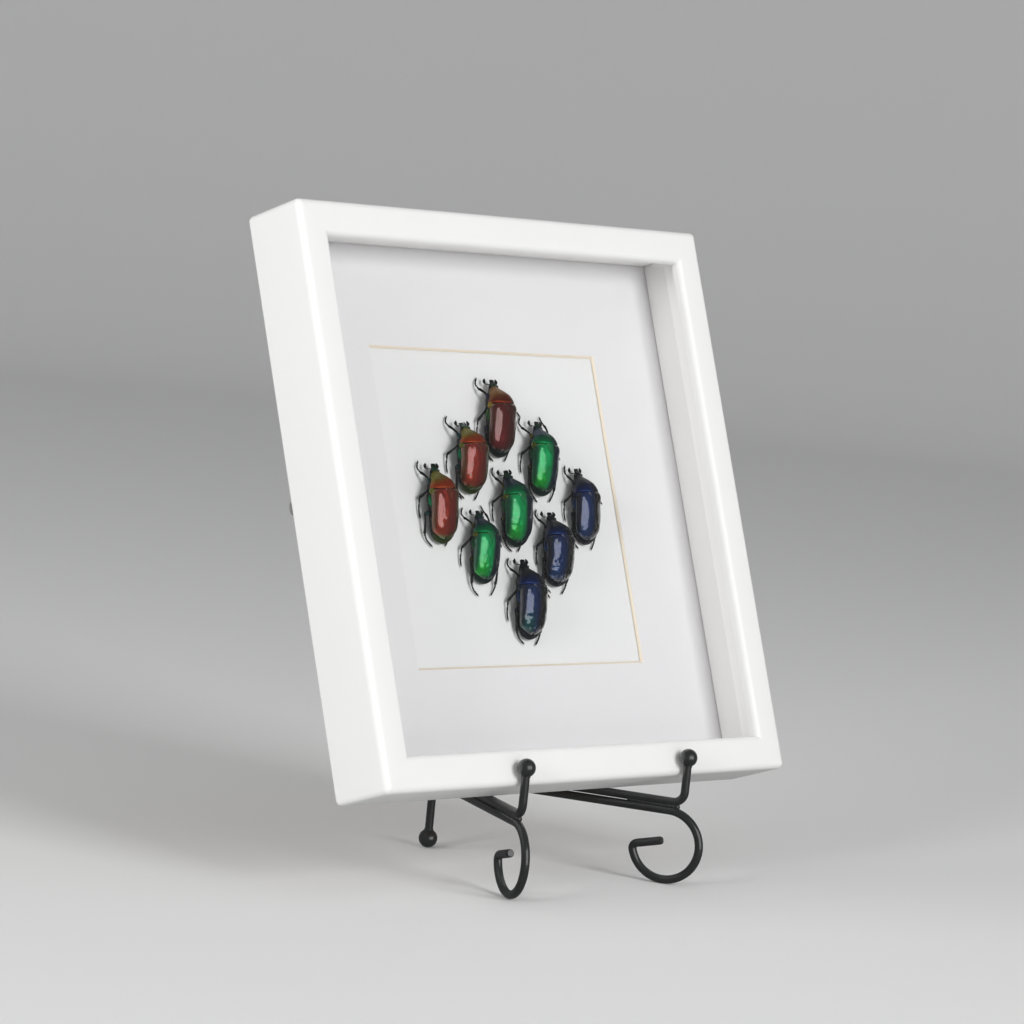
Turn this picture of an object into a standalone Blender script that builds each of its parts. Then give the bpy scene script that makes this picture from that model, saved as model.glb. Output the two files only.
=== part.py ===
"""Framed beetle specimen standing on a wrought-iron easel.

Nine metallic flower beetles lie on a white card behind a square mat window, in a deep white box frame
with a glass front. The frame leans back on an easel of bent round rod: two wings, each a scroll foot
and a hook rod with a ball tip, and one back post with a ball foot and a ball finial.

World axes: +Z up, the frame faces -Y, X = 0 halfway along the frame, Z = 0 at the easel's feet.
"""
import math

import bmesh
import bpy
from mathutils import Matrix, Vector

MM = 0.001
GAP = 0.3 * MM                  # clearance between pieces that touch

# Box frame
FRAME_SIZE = 250 * MM           # outer width and height
FRAME_DEPTH = 31.8 * MM
LIP_WIDTH = 15.2 * MM           # width of the front face of a rail
LIP_THICK = 5 * MM
WALL_THICK = 5.7 * MM           # rail behind the lip
FRONT_ROUND = 3 * MM
LIP_ROUND = 2.4 * MM
BACK_ROUND = 2 * MM
TILT = math.radians(20.2)       # lean of the frame on the easel
FRAME_FRONT_Y = -52.75 * MM     # bottom front edge of the frame, before its rounding
FRAME_FRONT_Z = 49.05 * MM

# Glass and what is stacked behind it, each from its depth behind the front face
GLASS_FRONT = LIP_THICK + GAP
GLASS_THICK = 2 * MM
SPACER_FRONT = GLASS_FRONT + GLASS_THICK + GAP
SPACER_THICK = 4 * MM
MAT_FRONT = 27 * MM
MAT_THICK = 1.0 * MM
MAT_WINDOW = 141.2 * MM         # window at the front of its 45 degree bevel
CARD_FRONT = MAT_FRONT + MAT_THICK + GAP
CARD_THICK = 1 * MM
BOARD_FRONT = CARD_FRONT + CARD_THICK + GAP
BOARD_THICK = 1.5 * MM
INSIDE = FRAME_SIZE - 2 * (WALL_THICK + GAP)    # size of every sheet in the stack

# Turn buttons that hold the back board
BUTTON_LENGTH = 17 * MM
BUTTON_WIDTH = 7 * MM
BUTTON_THICK = 0.8 * MM
BUTTON_ROUND = 3 * MM
BUTTON_INWARD = 4 * MM          # its screw, from the outer edge of the frame
SCREW_R = 2.3 * MM
SCREW_TOP_R = 1.4 * MM
SCREW_HIGH = 0.9 * MM

# Easel
ROD = 1.85 * MM                 # radius of the bent rod
EASEL_X = 4 * MM                # the frame sits a little to the left of the easel's middle
LEG_SPREAD = 50.4 * MM          # wing plane to the easel's middle, at the frame's front edge
LEG_SPLAY = math.radians(24.3)  # each wing runs back towards the middle at this angle
SCROLL_R = 15.3 * MM
SCROLL_BACK = 4.4 * MM          # scroll centre behind the frame's front edge, along the wing
SCROLL_CURL = math.radians(345)
CURL_R = 2.3 * MM
CURL_RISE = math.radians(14)
CURL_LENGTH = 12 * MM
ARM_END = 112 * MM
HOOK_BACK = -2 * MM             # hook rod in front of the frame's front edge
HOOK_BEND_R = 5 * MM
HOOK_BALL_UP = 7.6 * MM         # ball centre above the frame's front edge
HOOK_BALL_R = 4 * MM
REST_BEND_BACK = 70 * MM        # where the hook rod turns up behind the frame
REST_BEND_R = 12 * MM
REST_TOP_BACK = 109.5 * MM
REST_TOP_UP = 208 * MM
POST_BACK = 101.5 * MM
FOOT_BALL_R = 4.2 * MM
FINIAL_R = 4 * MM
FINIAL_UP = 221.2 * MM

# Beetles: name, middle across, middle up the frame, length, turn in degrees, girth, colour
BEETLES = (
    ("beetle_maroon_top", -1.5, 164.5, 34.8, -1.8, 1.03, (0.16, 0.02, 0.01)),
    ("beetle_red_upper_left", -23.0, 146.6, 31.9, -0.5, 1.15, (0.30, 0.03, 0.01)),
    ("beetle_green_upper_right", 22.0, 146.8, 33.6, -4.7, 1.06, (0.00, 0.15, 0.04)),
    ("beetle_red_left", -45.5, 126.0, 34.7, 0.6, 1.03, (0.30, 0.03, 0.01)),
    ("beetle_green_centre", -0.6, 124.1, 34.0, 2.2, 1.10, (0.00, 0.18, 0.05)),
    ("beetle_blue_right", 44.6, 125.4, 34.4, 0.3, 1.00, (0.01, 0.03, 0.12)),
    ("beetle_green_lower_left", -23.5, 107.0, 32.1, -3.7, 1.08, (0.00, 0.20, 0.03)),
    ("beetle_blue_lower_right", 21.8, 105.9, 33.1, -1.5, 1.14, (0.01, 0.03, 0.14)),
    ("beetle_blue_bottom", -0.4, 83.7, 35.2, -2.0, 1.05, (0.01, 0.05, 0.14)),
)
DRAWN_LENGTH = 34.0             # the body and legs below are drawn for this length and a girth of 1, in mm

# Body sections from tail to head: along, half width, rise above and drop below the widest line, its height.
# The body rests on its tail and its legs hold the front up.
BODY = (
    (0.5, 2.3, 0.4, 1.3, 1.9),
    (2.4, 4.1, 1.5, 2.1, 2.6),
    (5.2, 6.2, 2.8, 2.7, 3.4),
    (9.0, 7.1, 3.5, 3.6, 4.4),
    (14.0, 7.1, 3.8, 4.5, 5.6),
    (18.8, 7.3, 3.7, 5.2, 6.6),
    (21.6, 6.8, 3.3, 5.4, 6.95),
    (22.1, 6.2, 2.8, 5.3, 6.95),
    (22.6, 6.6, 3.3, 5.2, 6.9),
    (25.8, 5.6, 3.0, 4.6, 6.4),
    (28.0, 4.0, 2.2, 3.4, 5.3),
    (29.8, 2.3, 1.3, 2.0, 4.0),
    (30.4, 2.0, 1.0, 1.6, 3.75),
    (31.3, 2.0, 1.0, 1.3, 3.6),
    (33.4, 1.8, 0.6, 0.9, 3.4),
    (34.0, 1.5, 0.3, 0.5, 3.3),
)
SIDES = 12
SUTURE_DIP = 0.25               # the middle of the back lies a little lower

# Legs and antennae of a beetle: points across, along and above the card, with the radius there. The legs run
# fore left, fore right, mid left, mid right, hind left, hind right; each has hip, knee, ankle, foot and tip.
LIMBS = (
    ((-3, 24.5, 4.2, .9), (-5.2, 27.6, 4, .8), (-6.7, 30.6, 1.9, .5), (-7.4, 32.5, 1.1, .35), (-6, 35.5, .7, .3)),
    ((3, 24.5, 4.2, .9), (4.9, 27.8, 3.6, .8), (4.4, 30.2, 1.7, .5), (3.9, 31.8, 1, .35), (3.2, 34, .7, .3)),
    ((-3, 18.5, 3.6, 1), (-6.2, 22, 4.2, .9), (-10.1, 18.3, 1.6, .55), (-10.8, 13.8, .9, .35), (-10.6, 10, .7, .3)),
    ((3, 18.5, 3.6, 1), (9, 22.2, 4.2, .9), (13.4, 21.9, 1.6, .55), (15.8, 20.5, .9, .35), (17.6, 18.8, .7, .3)),
    ((-3.4, 13, 2.8, 1.1), (-8, 12.2, 3, 1), (-7.5, 3.6, 1.3, .6), (-6.7, 1.2, .9, .4), (-3.8, -1.7, .7, .3)),
    ((3.4, 13, 2.8, 1.1), (7.8, 9.8, 3, 1), (6.4, 3, 1.3, .6), (5.8, 1, .9, .4), (3.8, -2, .7, .3)),
    ((-1.2, 31.7, 3.2, .4), (-3.1, 32, 2.4, .35), (-3.3, 34.2, 2.1, .6)),
    ((1.2, 31.7, 3.2, .4), (3.1, 32, 2.4, .35), (3.3, 34.2, 2.1, .6)),
)

# How far each foot is set (across, along) from the drawn one, leg by leg; its knee moves half as far
STILL = (0, 0)
LEG_SHIFTS = {
    "beetle_maroon_top": ((-.5, -.8), STILL, (.3, -2.3), (-1, .5), (.5, .5), (0, 1)),
    "beetle_red_upper_left": ((-.7, 1.2), STILL, (-.3, .3), (-2.6, -1.9), STILL, (-1.4, -.4)),
    "beetle_green_upper_right": ((-1.2, 0), (1.6, 2.9), (.8, .2), (-3, 0), (.9, .6), (1.8, .3)),
    "beetle_red_left": ((.2, 0), STILL, (1, 1.6), (-1.6, .8), (-1.7, 1), (-1.4, 1.5)),
    "beetle_green_centre": ((1.4, .2), STILL, (1, 2.2), (-.4, 1.2), (1.2, .3), (-2.6, .4)),
    "beetle_blue_right": ((1.7, 0), STILL, (.8, 1.1), (-2, 0), (.8, 3.2), (.2, .2)),
    "beetle_green_lower_left": ((-.6, -.3), (1.6, 2.9), (-.4, -2), (-3, 0), (.9, -3.6), (1.2, -2.6)),
    "beetle_blue_lower_right": ((1.2, 0), STILL, (2, .4), (-1.3, -.2), (.4, -.6), (-.4, -.8)),
    "beetle_blue_bottom": ((.7, -.7), STILL, (.5, -1.7), (-2, 0), (.8, .2), (.2, .2)),
}
SHIFT_SHARES = (0, 0.5, 1, 1, 1)


def clear_scene():
    for thing in list(bpy.data.objects):
        bpy.data.objects.remove(thing, do_unlink=True)


def new_collection(name):
    group = bpy.data.collections.new(name)
    bpy.context.scene.collection.children.link(group)
    return group


def material(name, colour, roughness, metallic=0.0, transmission=0.0):
    made = bpy.data.materials.new(name)
    made.use_nodes = True
    shader = made.node_tree.nodes["Principled BSDF"]
    shader.inputs["Base Color"].default_value = (*colour, 1)
    shader.inputs["Roughness"].default_value = roughness
    shader.inputs["Metallic"].default_value = metallic
    shader.inputs["Transmission Weight"].default_value = transmission
    return made


def new_object(name, bm, group, look, parent=None):
    """Turns a bmesh into a named object with its own material."""
    bmesh.ops.recalc_face_normals(bm, faces=bm.faces)
    if bm.calc_volume(signed=True) < 0:
        bmesh.ops.reverse_faces(bm, faces=bm.faces)
    mesh = bpy.data.meshes.new(name)
    bm.to_mesh(mesh)
    bm.free()
    mesh.materials.append(look)
    thing = bpy.data.objects.new(name, mesh)
    thing.parent = parent
    group.objects.link(thing)
    return thing


def as_cutter(thing):
    thing.hide_render = True
    thing.display_type = "WIRE"


def round_corners(corners, steps=3):
    """Outline through corners (a, b, radius), each rounded by an arc of that radius."""
    outline = []
    count = len(corners)
    for index, (a, b, radius) in enumerate(corners):
        corner = Vector((a, b))
        if not radius:
            outline.append(corner)
            continue
        before = (Vector(corners[index - 1][:2]) - corner).normalized()
        after = (Vector(corners[(index + 1) % count][:2]) - corner).normalized()
        centre = corner + (before + after) * radius
        for step in range(steps + 1):
            turn = math.radians(90) * step / steps
            outline.append(centre - after * radius * math.cos(turn) - before * radius * math.sin(turn))
    return outline


def box(name, size, middle, group, look, parent):
    bm = bmesh.new()
    bmesh.ops.create_cube(bm, size=1)
    bmesh.ops.scale(bm, vec=size, verts=bm.verts)
    bmesh.ops.translate(bm, vec=middle, verts=bm.verts)
    return new_object(name, bm, group, look, parent)


def mitred_rail(name, quarter_turns, group, parent):
    """One rail: its rounded L section drawn out, mitred at both ends and turned round the frame's middle."""
    section = round_corners((
        (0, 0, FRONT_ROUND),
        (0, FRAME_DEPTH, BACK_ROUND),
        (WALL_THICK, FRAME_DEPTH, 0),
        (WALL_THICK, LIP_THICK, 0),
        (LIP_WIDTH, LIP_THICK, 0),
        (LIP_WIDTH, 0, LIP_ROUND),
    ))
    half = FRAME_SIZE / 2
    bm = bmesh.new()
    face = bm.faces.new([bm.verts.new((-half, depth, inward)) for inward, depth in section])
    pulled = bmesh.ops.extrude_face_region(bm, geom=[face])
    moved = [part for part in pulled["geom"] if isinstance(part, bmesh.types.BMVert)]
    bmesh.ops.translate(bm, vec=(FRAME_SIZE, 0, 0), verts=moved)
    for side in (-1, 1):
        mitre = Vector((side, 0, 1)).normalized()
        cut = bmesh.ops.bisect_plane(
            bm, geom=bm.verts[:] + bm.edges[:] + bm.faces[:], clear_outer=True,
            plane_co=Vector((side * half, 0, 0)) - mitre * GAP / 2, plane_no=mitre)
        rim = [part for part in cut["geom_cut"] if isinstance(part, bmesh.types.BMEdge)]
        bmesh.ops.holes_fill(bm, edges=rim)
    turn = Matrix.Rotation(quarter_turns * math.pi / 2, 4, "Y")
    middle = Vector((0, 0, half))
    bm.transform(Matrix.Translation(middle) @ turn @ Matrix.Translation(-middle))
    return new_object(name, bm, group, material(name, (0.87, 0.87, 0.85), 0.45), parent)


def make_box_frame(group, parent):
    for name, quarter_turns in (("rail_bottom", 0), ("rail_left", 1), ("rail_top", 2), ("rail_right", 3)):
        mitred_rail(name, quarter_turns, group, parent)
    middle = FRAME_SIZE / 2

    def sheet(name, front, thick, look):
        box(name, (INSIDE, thick, INSIDE), (0, front + thick / 2, middle), group, look, parent)

    sheet("glass_pane", GLASS_FRONT, GLASS_THICK, material("glass", (1, 1, 1), 0.02, 0, 1))
    sheet("backing_card", CARD_FRONT, CARD_THICK, material("card", (0.78, 0.78, 0.79), 0.8))
    sheet("back_board", BOARD_FRONT, BOARD_THICK, material("board", (0.30, 0.19, 0.11), 0.7))

    # Spacer strips stand the mat off the glass: top and bottom run full width, the sides fit between
    depth = MAT_FRONT - GAP - SPACER_FRONT
    at = SPACER_FRONT + depth / 2
    reach = (INSIDE - SPACER_THICK) / 2
    side_length = INSIDE - 2 * (SPACER_THICK + GAP)
    for name, across, up, size in (
        ("spacer_top", 0, reach, (INSIDE, depth, SPACER_THICK)),
        ("spacer_bottom", 0, -reach, (INSIDE, depth, SPACER_THICK)),
        ("spacer_left", -reach, 0, (SPACER_THICK, depth, side_length)),
        ("spacer_right", reach, 0, (SPACER_THICK, depth, side_length)),
    ):
        look = material(name, (0.75, 0.74, 0.73), 0.6)
        box(name, size, (across, at, middle + up), group, look, parent)


def make_mat(group, cutters, parent):
    """The mat board with its bevelled window cut by a square frustum."""
    middle = Vector((0, MAT_FRONT + MAT_THICK / 2, FRAME_SIZE / 2))
    look = material("mat", (0.76, 0.75, 0.76), 0.85)
    mat = box("window_mat", (INSIDE, MAT_THICK, INSIDE), middle, group, look, parent)
    over = 1 * MM
    bm = bmesh.new()
    half = MAT_WINDOW / 2
    bmesh.ops.create_cone(
        bm, cap_ends=True, segments=4, depth=MAT_THICK + 2 * over,
        radius1=(half + over) * math.sqrt(2), radius2=(half - MAT_THICK - over) * math.sqrt(2))
    place = (Matrix.Translation(middle) @ Matrix.Rotation(-math.pi / 2, 4, "X")
             @ Matrix.Rotation(math.pi / 4, 4, "Z"))
    bm.transform(place)
    cutter = new_object("mat_window", bm, cutters, look, parent)
    as_cutter(cutter)
    cut = mat.modifiers.new("window", "BOOLEAN")
    cut.operation = "DIFFERENCE"
    cut.object = cutter


def make_turn_buttons(group, cutters, parent):
    """Four steel plates, each turned over the back board and held by a screw in the rail."""
    half = BUTTON_WIDTH / 2
    outline = round_corners((
        (-half, -half, BUTTON_ROUND),
        (half, -half, BUTTON_ROUND),
        (half, BUTTON_LENGTH - half, BUTTON_ROUND),
        (-half, BUTTON_LENGTH - half, BUTTON_ROUND),
    ), 2)
    middle = Matrix.Translation((0, 0, FRAME_SIZE / 2))
    for name, quarter_turns in (("bottom", 0), ("left", 1), ("top", 2), ("right", 3)):
        place = (middle @ Matrix.Rotation(quarter_turns * math.pi / 2, 4, "Y") @ middle.inverted()
                 @ Matrix.Translation((0, FRAME_DEPTH + GAP, BUTTON_INWARD)))
        look = material("turn_button_" + name, (0.55, 0.55, 0.53), 0.35, 1)
        bm = bmesh.new()
        face = bm.faces.new([bm.verts.new((x, 0, z)) for x, z in outline])
        pulled = bmesh.ops.extrude_face_region(bm, geom=[face])
        moved = [part for part in pulled["geom"] if isinstance(part, bmesh.types.BMVert)]
        bmesh.ops.translate(bm, vec=(0, BUTTON_THICK, 0), verts=moved)
        bm.transform(place)
        button = new_object("turn_button_" + name, bm, group, look, parent)
        bm = bmesh.new()
        bmesh.ops.create_cone(
            bm, cap_ends=True, segments=8, depth=2 * SCREW_HIGH, radius1=SCREW_R, radius2=SCREW_TOP_R)
        bm.transform(place @ Matrix.Translation((0, BUTTON_THICK, 0)) @ Matrix.Rotation(-math.pi / 2, 4, "X"))
        screw = new_object("screw_" + name, bm, cutters, look, parent)
        as_cutter(screw)
        weld(button, screw)


def rod(name, points, radius, group, sides=2):
    """A bent round rod along points, as one closed mesh."""
    curve = bpy.data.curves.new(name, "CURVE")
    curve.dimensions = "3D"
    curve.bevel_depth = radius
    curve.bevel_resolution = sides
    curve.use_fill_caps = True
    spline = curve.splines.new("POLY")
    spline.points.add(len(points) - 1)
    for point, place in zip(spline.points, points):
        point.co = (*place[:3], 1)
        point.radius = place[3] if len(place) > 3 else 1.0
    bent = bpy.data.objects.new(name, curve)
    group.objects.link(bent)
    depsgraph = bpy.context.evaluated_depsgraph_get()
    mesh = bpy.data.meshes.new_from_object(bent.evaluated_get(depsgraph))
    bpy.data.objects.remove(bent, do_unlink=True)
    bm = bmesh.new()
    bm.from_mesh(mesh)
    bpy.data.meshes.remove(mesh)
    bmesh.ops.remove_doubles(bm, verts=bm.verts, dist=1e-6)
    return bm


def arc(centre, radius, start, end, steps):
    """Points of an arc in a wing's plane, from angle start to end."""
    return [
        (centre[0] + radius * math.cos(start + (end - start) * step / steps),
         centre[1] + radius * math.sin(start + (end - start) * step / steps))
        for step in range(steps + 1)
    ]


def on_wing(side, route):
    """Turns a route (back, up) drawn on a wing's plane into world points; side is -1 left or 1 right."""
    return [
        (EASEL_X + side * (LEG_SPREAD - back * math.sin(LEG_SPLAY)),
         FRAME_FRONT_Y + back * math.cos(LEG_SPLAY), up)
        for back, up in route
    ]


def scroll_route():
    """From the curled tip round the scroll, which stands on the ground, and back along the lower arm."""
    centre = (SCROLL_BACK, ROD + SCROLL_R)
    turn = SCROLL_CURL - 2 * math.pi
    inner = SCROLL_R - CURL_R
    curl = (centre[0] + inner * math.cos(turn), centre[1] + inner * math.sin(turn))
    small = arc(curl, CURL_R, turn, math.pi / 2 - CURL_RISE, 5)
    heading = math.pi - CURL_RISE
    tip = (small[-1][0] + CURL_LENGTH * math.cos(heading), small[-1][1] + CURL_LENGTH * math.sin(heading))
    scroll = arc(centre, SCROLL_R, math.pi / 2, SCROLL_CURL, 22)
    arm = (ARM_END, ROD + 2 * SCROLL_R)
    return [arm] + scroll + small[1:] + [tip]


def hook_route():
    """From the ball tip down in front of the frame, back along the arm and up behind to the post."""
    arm_up = 3 * ROD + 2 * SCROLL_R + GAP
    top = FRAME_FRONT_Z + HOOK_BALL_UP
    bend = arc((HOOK_BACK + HOOK_BEND_R, arm_up + HOOK_BEND_R), HOOK_BEND_R, math.pi, 1.5 * math.pi, 5)
    rise = math.atan2(REST_TOP_UP - arm_up, REST_TOP_BACK - REST_BEND_BACK)
    start = REST_BEND_BACK - REST_BEND_R * math.tan(rise / 2)
    turn = arc((start, arm_up + REST_BEND_R), REST_BEND_R, -math.pi / 2, rise - math.pi / 2, 7)
    return [(HOOK_BACK, top)] + bend + turn + [(REST_TOP_BACK, REST_TOP_UP)]


def ball(name, radius, place, group, look):
    bm = bmesh.new()
    bmesh.ops.create_uvsphere(bm, u_segments=12, v_segments=8, radius=radius)
    bmesh.ops.translate(bm, vec=place, verts=bm.verts)
    made = new_object(name, bm, group, look)
    as_cutter(made)
    return made


def weld(thing, other):
    """Joins other to thing in one solid."""
    join = thing.modifiers.new("weld " + other.name, "BOOLEAN")
    join.operation = "UNION"
    join.object = other


def make_easel(group, cutters):
    for side, word in ((-1, "left"), (1, "right")):
        look = material("scroll_leg_" + word, (0.02, 0.02, 0.02), 0.4)
        scroll = rod("scroll", on_wing(side, scroll_route()), ROD, cutters)
        new_object("scroll_leg_" + word, scroll, group, look)
        look = material("hook_rod_" + word, (0.02, 0.02, 0.02), 0.4)
        route = on_wing(side, hook_route())
        hook = new_object("hook_rod_" + word, rod("hook", route, ROD, cutters), group, look)
        weld(hook, ball("hook_ball_" + word, HOOK_BALL_R, route[0], cutters, look))
    look = material("back_post", (0.02, 0.02, 0.02), 0.4)
    at_y = FRAME_FRONT_Y + POST_BACK
    foot = (EASEL_X, at_y, FOOT_BALL_R)
    finial = (EASEL_X, at_y, FINIAL_UP)
    post = new_object("back_post", rod("post", (foot, finial), ROD, cutters), group, look)
    weld(post, ball("foot_ball", FOOT_BALL_R, foot, cutters, look))
    weld(post, ball("finial_ball", FINIAL_R, finial, cutters, look))


def body_mesh(scale, girth):
    """The beetle's body as one loft from tail to head, belly down on the card."""
    stout = scale * girth
    bm = bmesh.new()
    rings = []
    for along, wide, rise, drop, height in BODY:
        ring = []
        for step in range(SIDES):
            turn = 2 * math.pi * step / SIDES
            across = wide * math.copysign(abs(math.cos(turn)) ** 0.8, math.cos(turn))
            up = (rise if math.sin(turn) > 0 else drop) * math.sin(turn)
            if step == SIDES // 4:
                up -= SUTURE_DIP
            ring.append(bm.verts.new((across * stout, along * scale, (height + up) * stout)))
        rings.append(ring)
    for ring, following in zip(rings, rings[1:]):
        for step in range(SIDES):
            after = (step + 1) % SIDES
            bm.faces.new((ring[step], ring[after], following[after], following[step]))
    bm.faces.new(rings[0])
    bm.faces.new(rings[-1])
    return bm


def limb_mesh(scale, girth, shifts, cutters):
    """The six legs and two antennae, each a tapering tube rooted inside the body."""
    joined = bpy.data.meshes.new("limbs")
    whole = bmesh.new()
    stout = scale * girth
    for route, (aside, ahead) in zip(LIMBS, shifts + (STILL, STILL)):
        points = [
            ((x + aside * share) * stout, (y + ahead * share) * scale, z * stout, r)
            for (x, y, z, r), share in zip(route, SHIFT_SHARES)
        ]
        tube = rod("limb", points, scale, cutters, 0)
        tube.to_mesh(joined)
        tube.free()
        whole.from_mesh(joined)
    bpy.data.meshes.remove(joined)
    return whole


def make_beetle(name, across, up, length, turn, girth, colour, group, cutters, parent):
    scale = length / DRAWN_LENGTH * MM
    look = material(name, colour, 0.25, 0.6)
    beetle = new_object(name, body_mesh(scale, girth), group, look, parent)
    legs = limb_mesh(scale, girth, LEG_SHIFTS[name], cutters)
    limbs = new_object(name + "_limbs", legs, cutters, look, parent)
    as_cutter(limbs)
    weld(beetle, limbs)
    swing = math.radians(turn)
    middle = Vector((0, DRAWN_LENGTH / 2 * scale, 0))
    middle.rotate(Matrix.Rotation(swing, 3, "Z"))
    for piece in (beetle, limbs):
        piece.rotation_euler = (math.pi / 2, -swing, 0)
        piece.location = (across * MM - middle.x, CARD_FRONT - GAP, up * MM - middle.y)


def main():
    clear_scene()
    group = new_collection("framed_beetle_specimen")
    cutters = new_collection("cutters")
    lean = bpy.data.objects.new("frame_lean", None)
    lean.location = (0, FRAME_FRONT_Y, FRAME_FRONT_Z)
    lean.rotation_euler = (-TILT, 0, 0)
    group.objects.link(lean)
    make_box_frame(group, lean)
    make_mat(group, cutters, lean)
    make_turn_buttons(group, cutters, lean)
    for row in BEETLES:
        make_beetle(*row, group, cutters, lean)
    make_easel(group, cutters)


main()
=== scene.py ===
# %% [markdown]
# # A framed beetle specimen
# Nine metallic flower beetles lie on a white card behind the square window of a mat. A deep white box frame
# holds them, and the frame leans back on an easel bent from round rod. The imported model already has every
# piece at its real size. This script keeps the flat sheets, remakes the curved pieces more finely in the same
# places, and gives each surface its finish.

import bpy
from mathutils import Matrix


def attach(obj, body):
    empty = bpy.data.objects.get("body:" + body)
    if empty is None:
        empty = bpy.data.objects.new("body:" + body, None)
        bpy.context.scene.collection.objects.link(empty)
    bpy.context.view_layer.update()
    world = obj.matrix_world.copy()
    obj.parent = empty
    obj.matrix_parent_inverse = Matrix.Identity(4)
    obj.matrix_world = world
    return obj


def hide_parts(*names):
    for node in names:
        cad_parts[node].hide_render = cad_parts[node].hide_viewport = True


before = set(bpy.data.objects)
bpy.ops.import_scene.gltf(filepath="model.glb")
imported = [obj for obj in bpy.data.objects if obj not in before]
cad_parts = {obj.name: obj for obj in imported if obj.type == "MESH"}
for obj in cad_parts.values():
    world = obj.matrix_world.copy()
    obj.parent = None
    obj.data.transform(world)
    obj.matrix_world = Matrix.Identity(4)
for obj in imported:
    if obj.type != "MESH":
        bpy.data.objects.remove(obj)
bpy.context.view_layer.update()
print("the packed model has", len(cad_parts), "nodes")

# %% [markdown]
# The frame leans, so it is easiest to work in its own directions: x to the right, y towards the back and z up
# along the face. One matrix then places anything drawn that way. The numbers are the driving sizes of the
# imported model, in millimetres.

# %% Tools and sizes
import math

import bmesh
import bpy
import numpy as np
from mathutils import Matrix, Vector, noise

MM = 0.001
TILT = math.radians(20.2)
FRONT_EDGE = Vector((0, -52.75, 49.05)) * MM    # bottom front edge of the frame, before its rounding
LEANING = Matrix.Translation(FRONT_EDGE) @ Matrix.Rotation(-TILT, 4, "X") @ Matrix.Scale(MM, 4)
FRAME_SIZE = 250.0
FRAME_DEPTH = 31.8
LIP_WIDTH = 15.2
LIP_THICK = 5.0
WALL_THICK = 5.7
CARD_FRONT = 28.3                               # depth of the card's face behind the front of the frame
WINDOW = 141.2                                  # mat window, at the front of its bevel
BEVEL = 1.0

# %% [markdown]
# Finished pieces all get the same last steps: smooth shading with sharp edges kept, a material and a body to ride on,
# and the imported nodes that they stand for are hidden.

# %% Finishing a piece
def add_object(name, data):
    made = bpy.data.objects.new(name, data)
    bpy.context.collection.objects.link(made)
    return made


def finish_piece(name, mesh, look, nodes=(), sharp=38):
    """Makes a mesh a finished piece; edges bent by more than sharp degrees stay sharp."""
    mesh.materials.clear()
    mesh.materials.append(look)
    mesh.shade_smooth()
    mesh.set_sharp_from_angle(angle=math.radians(sharp))
    piece = add_object(name, mesh)
    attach(piece, "root")
    if nodes:
        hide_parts(*nodes)
    print(name, "has", len(mesh.polygons), "faces")


def round_angles(count):
    """Angles right round a circle, in equal steps."""
    return np.linspace(0, 2 * math.pi, count, endpoint=False)


def ring_faces(rings, around, closed=False):
    """Faces between rings of points; closed also joins the last ring to the first."""
    faces = []
    for ring in range(rings if closed else rings - 1):
        low, high = ring * around, (ring + 1) % rings * around
        for step in range(around):
            after = (step + 1) % around
            faces.append((low + step, low + after, high + after, high + step))
    return faces


def mesh_from(name, points, faces, place):
    """A mesh of points (an array in the units of place) with every closed shell facing out."""
    mesh = bpy.data.meshes.new(name)
    mesh.from_pydata([place @ Vector(point) for point in points], [], faces)
    bm = bmesh.new()
    bm.from_mesh(mesh)
    bmesh.ops.recalc_face_normals(bm, faces=bm.faces)
    bm.to_mesh(mesh)
    bm.free()
    return mesh


def refinish(node, look):
    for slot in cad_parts[node].material_slots:
        slot.material = look


# %% [markdown]
# Finishes, the world and the Geometry Nodes trees are all drawn as nodes. These helpers make a node and give
# each of its inputs a value or the socket that feeds it, start a material, and start or end a group.

# %% Node helpers
def set_inputs(node, inputs):
    """Gives inputs, by name or number, a value or a feeding socket; a node stands for its first output."""
    for socket, value in inputs.items():
        if isinstance(value, bpy.types.Node):
            value = value.outputs[0]
        if isinstance(value, bpy.types.NodeSocket):
            node.id_data.links.new(value, node.inputs[socket])
        else:
            node.inputs[socket].default_value = value
    return node


def add_node(tree, kind, inputs=None, **settings):
    node = tree.nodes.new(kind)
    for name, value in settings.items():
        setattr(node, name, value)
    return set_inputs(node, inputs or {})


def add_math(tree, operation, *values):
    return add_node(tree, "ShaderNodeMath", dict(enumerate(values)), operation=operation)


def mix_colours(tree, share, first, second, **settings):
    mix = add_node(tree, "ShaderNodeMix", {"Factor": share, 6: first, 7: second}, data_type="RGBA", **settings)
    return mix.outputs[2]


def new_look(name):
    """A material, its tree and its shader."""
    look = bpy.data.materials.new(name)
    look.use_nodes = True
    return look, look.node_tree, look.node_tree.nodes["Principled BSDF"]


def new_group(name, kind, inputs, outputs):
    """A node group and what it is given; a socket is its name, its type and perhaps its value."""
    tree = bpy.data.node_groups.new(name, kind + "NodeTree")
    for put, sockets in (("INPUT", inputs), ("OUTPUT", outputs)):
        for label, sort, *value in sockets:
            socket = tree.interface.new_socket(name=label, in_out=put, socket_type="NodeSocket" + sort)
            if value:
                socket.default_value = value[0]
    return tree, tree.nodes.new("NodeGroupInput").outputs


def end_group(tree, given, shape):
    """Ends a geometry group: what it made becomes real mesh with the given finish."""
    real = add_node(tree, "GeometryNodeRealizeInstances", {0: shape})
    painted = add_node(tree, "GeometryNodeSetMaterial", {"Geometry": real, "Material": given["Finish"]})
    add_node(tree, "NodeGroupOutput", {0: painted})
    return tree


# %% [markdown]
# The camera stands to the left of the frame and a little above its foot, with a long lens, and it is rolled a
# few degrees. Heading, pitch and roll give its three directions, which are the columns of its matrix.

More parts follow.
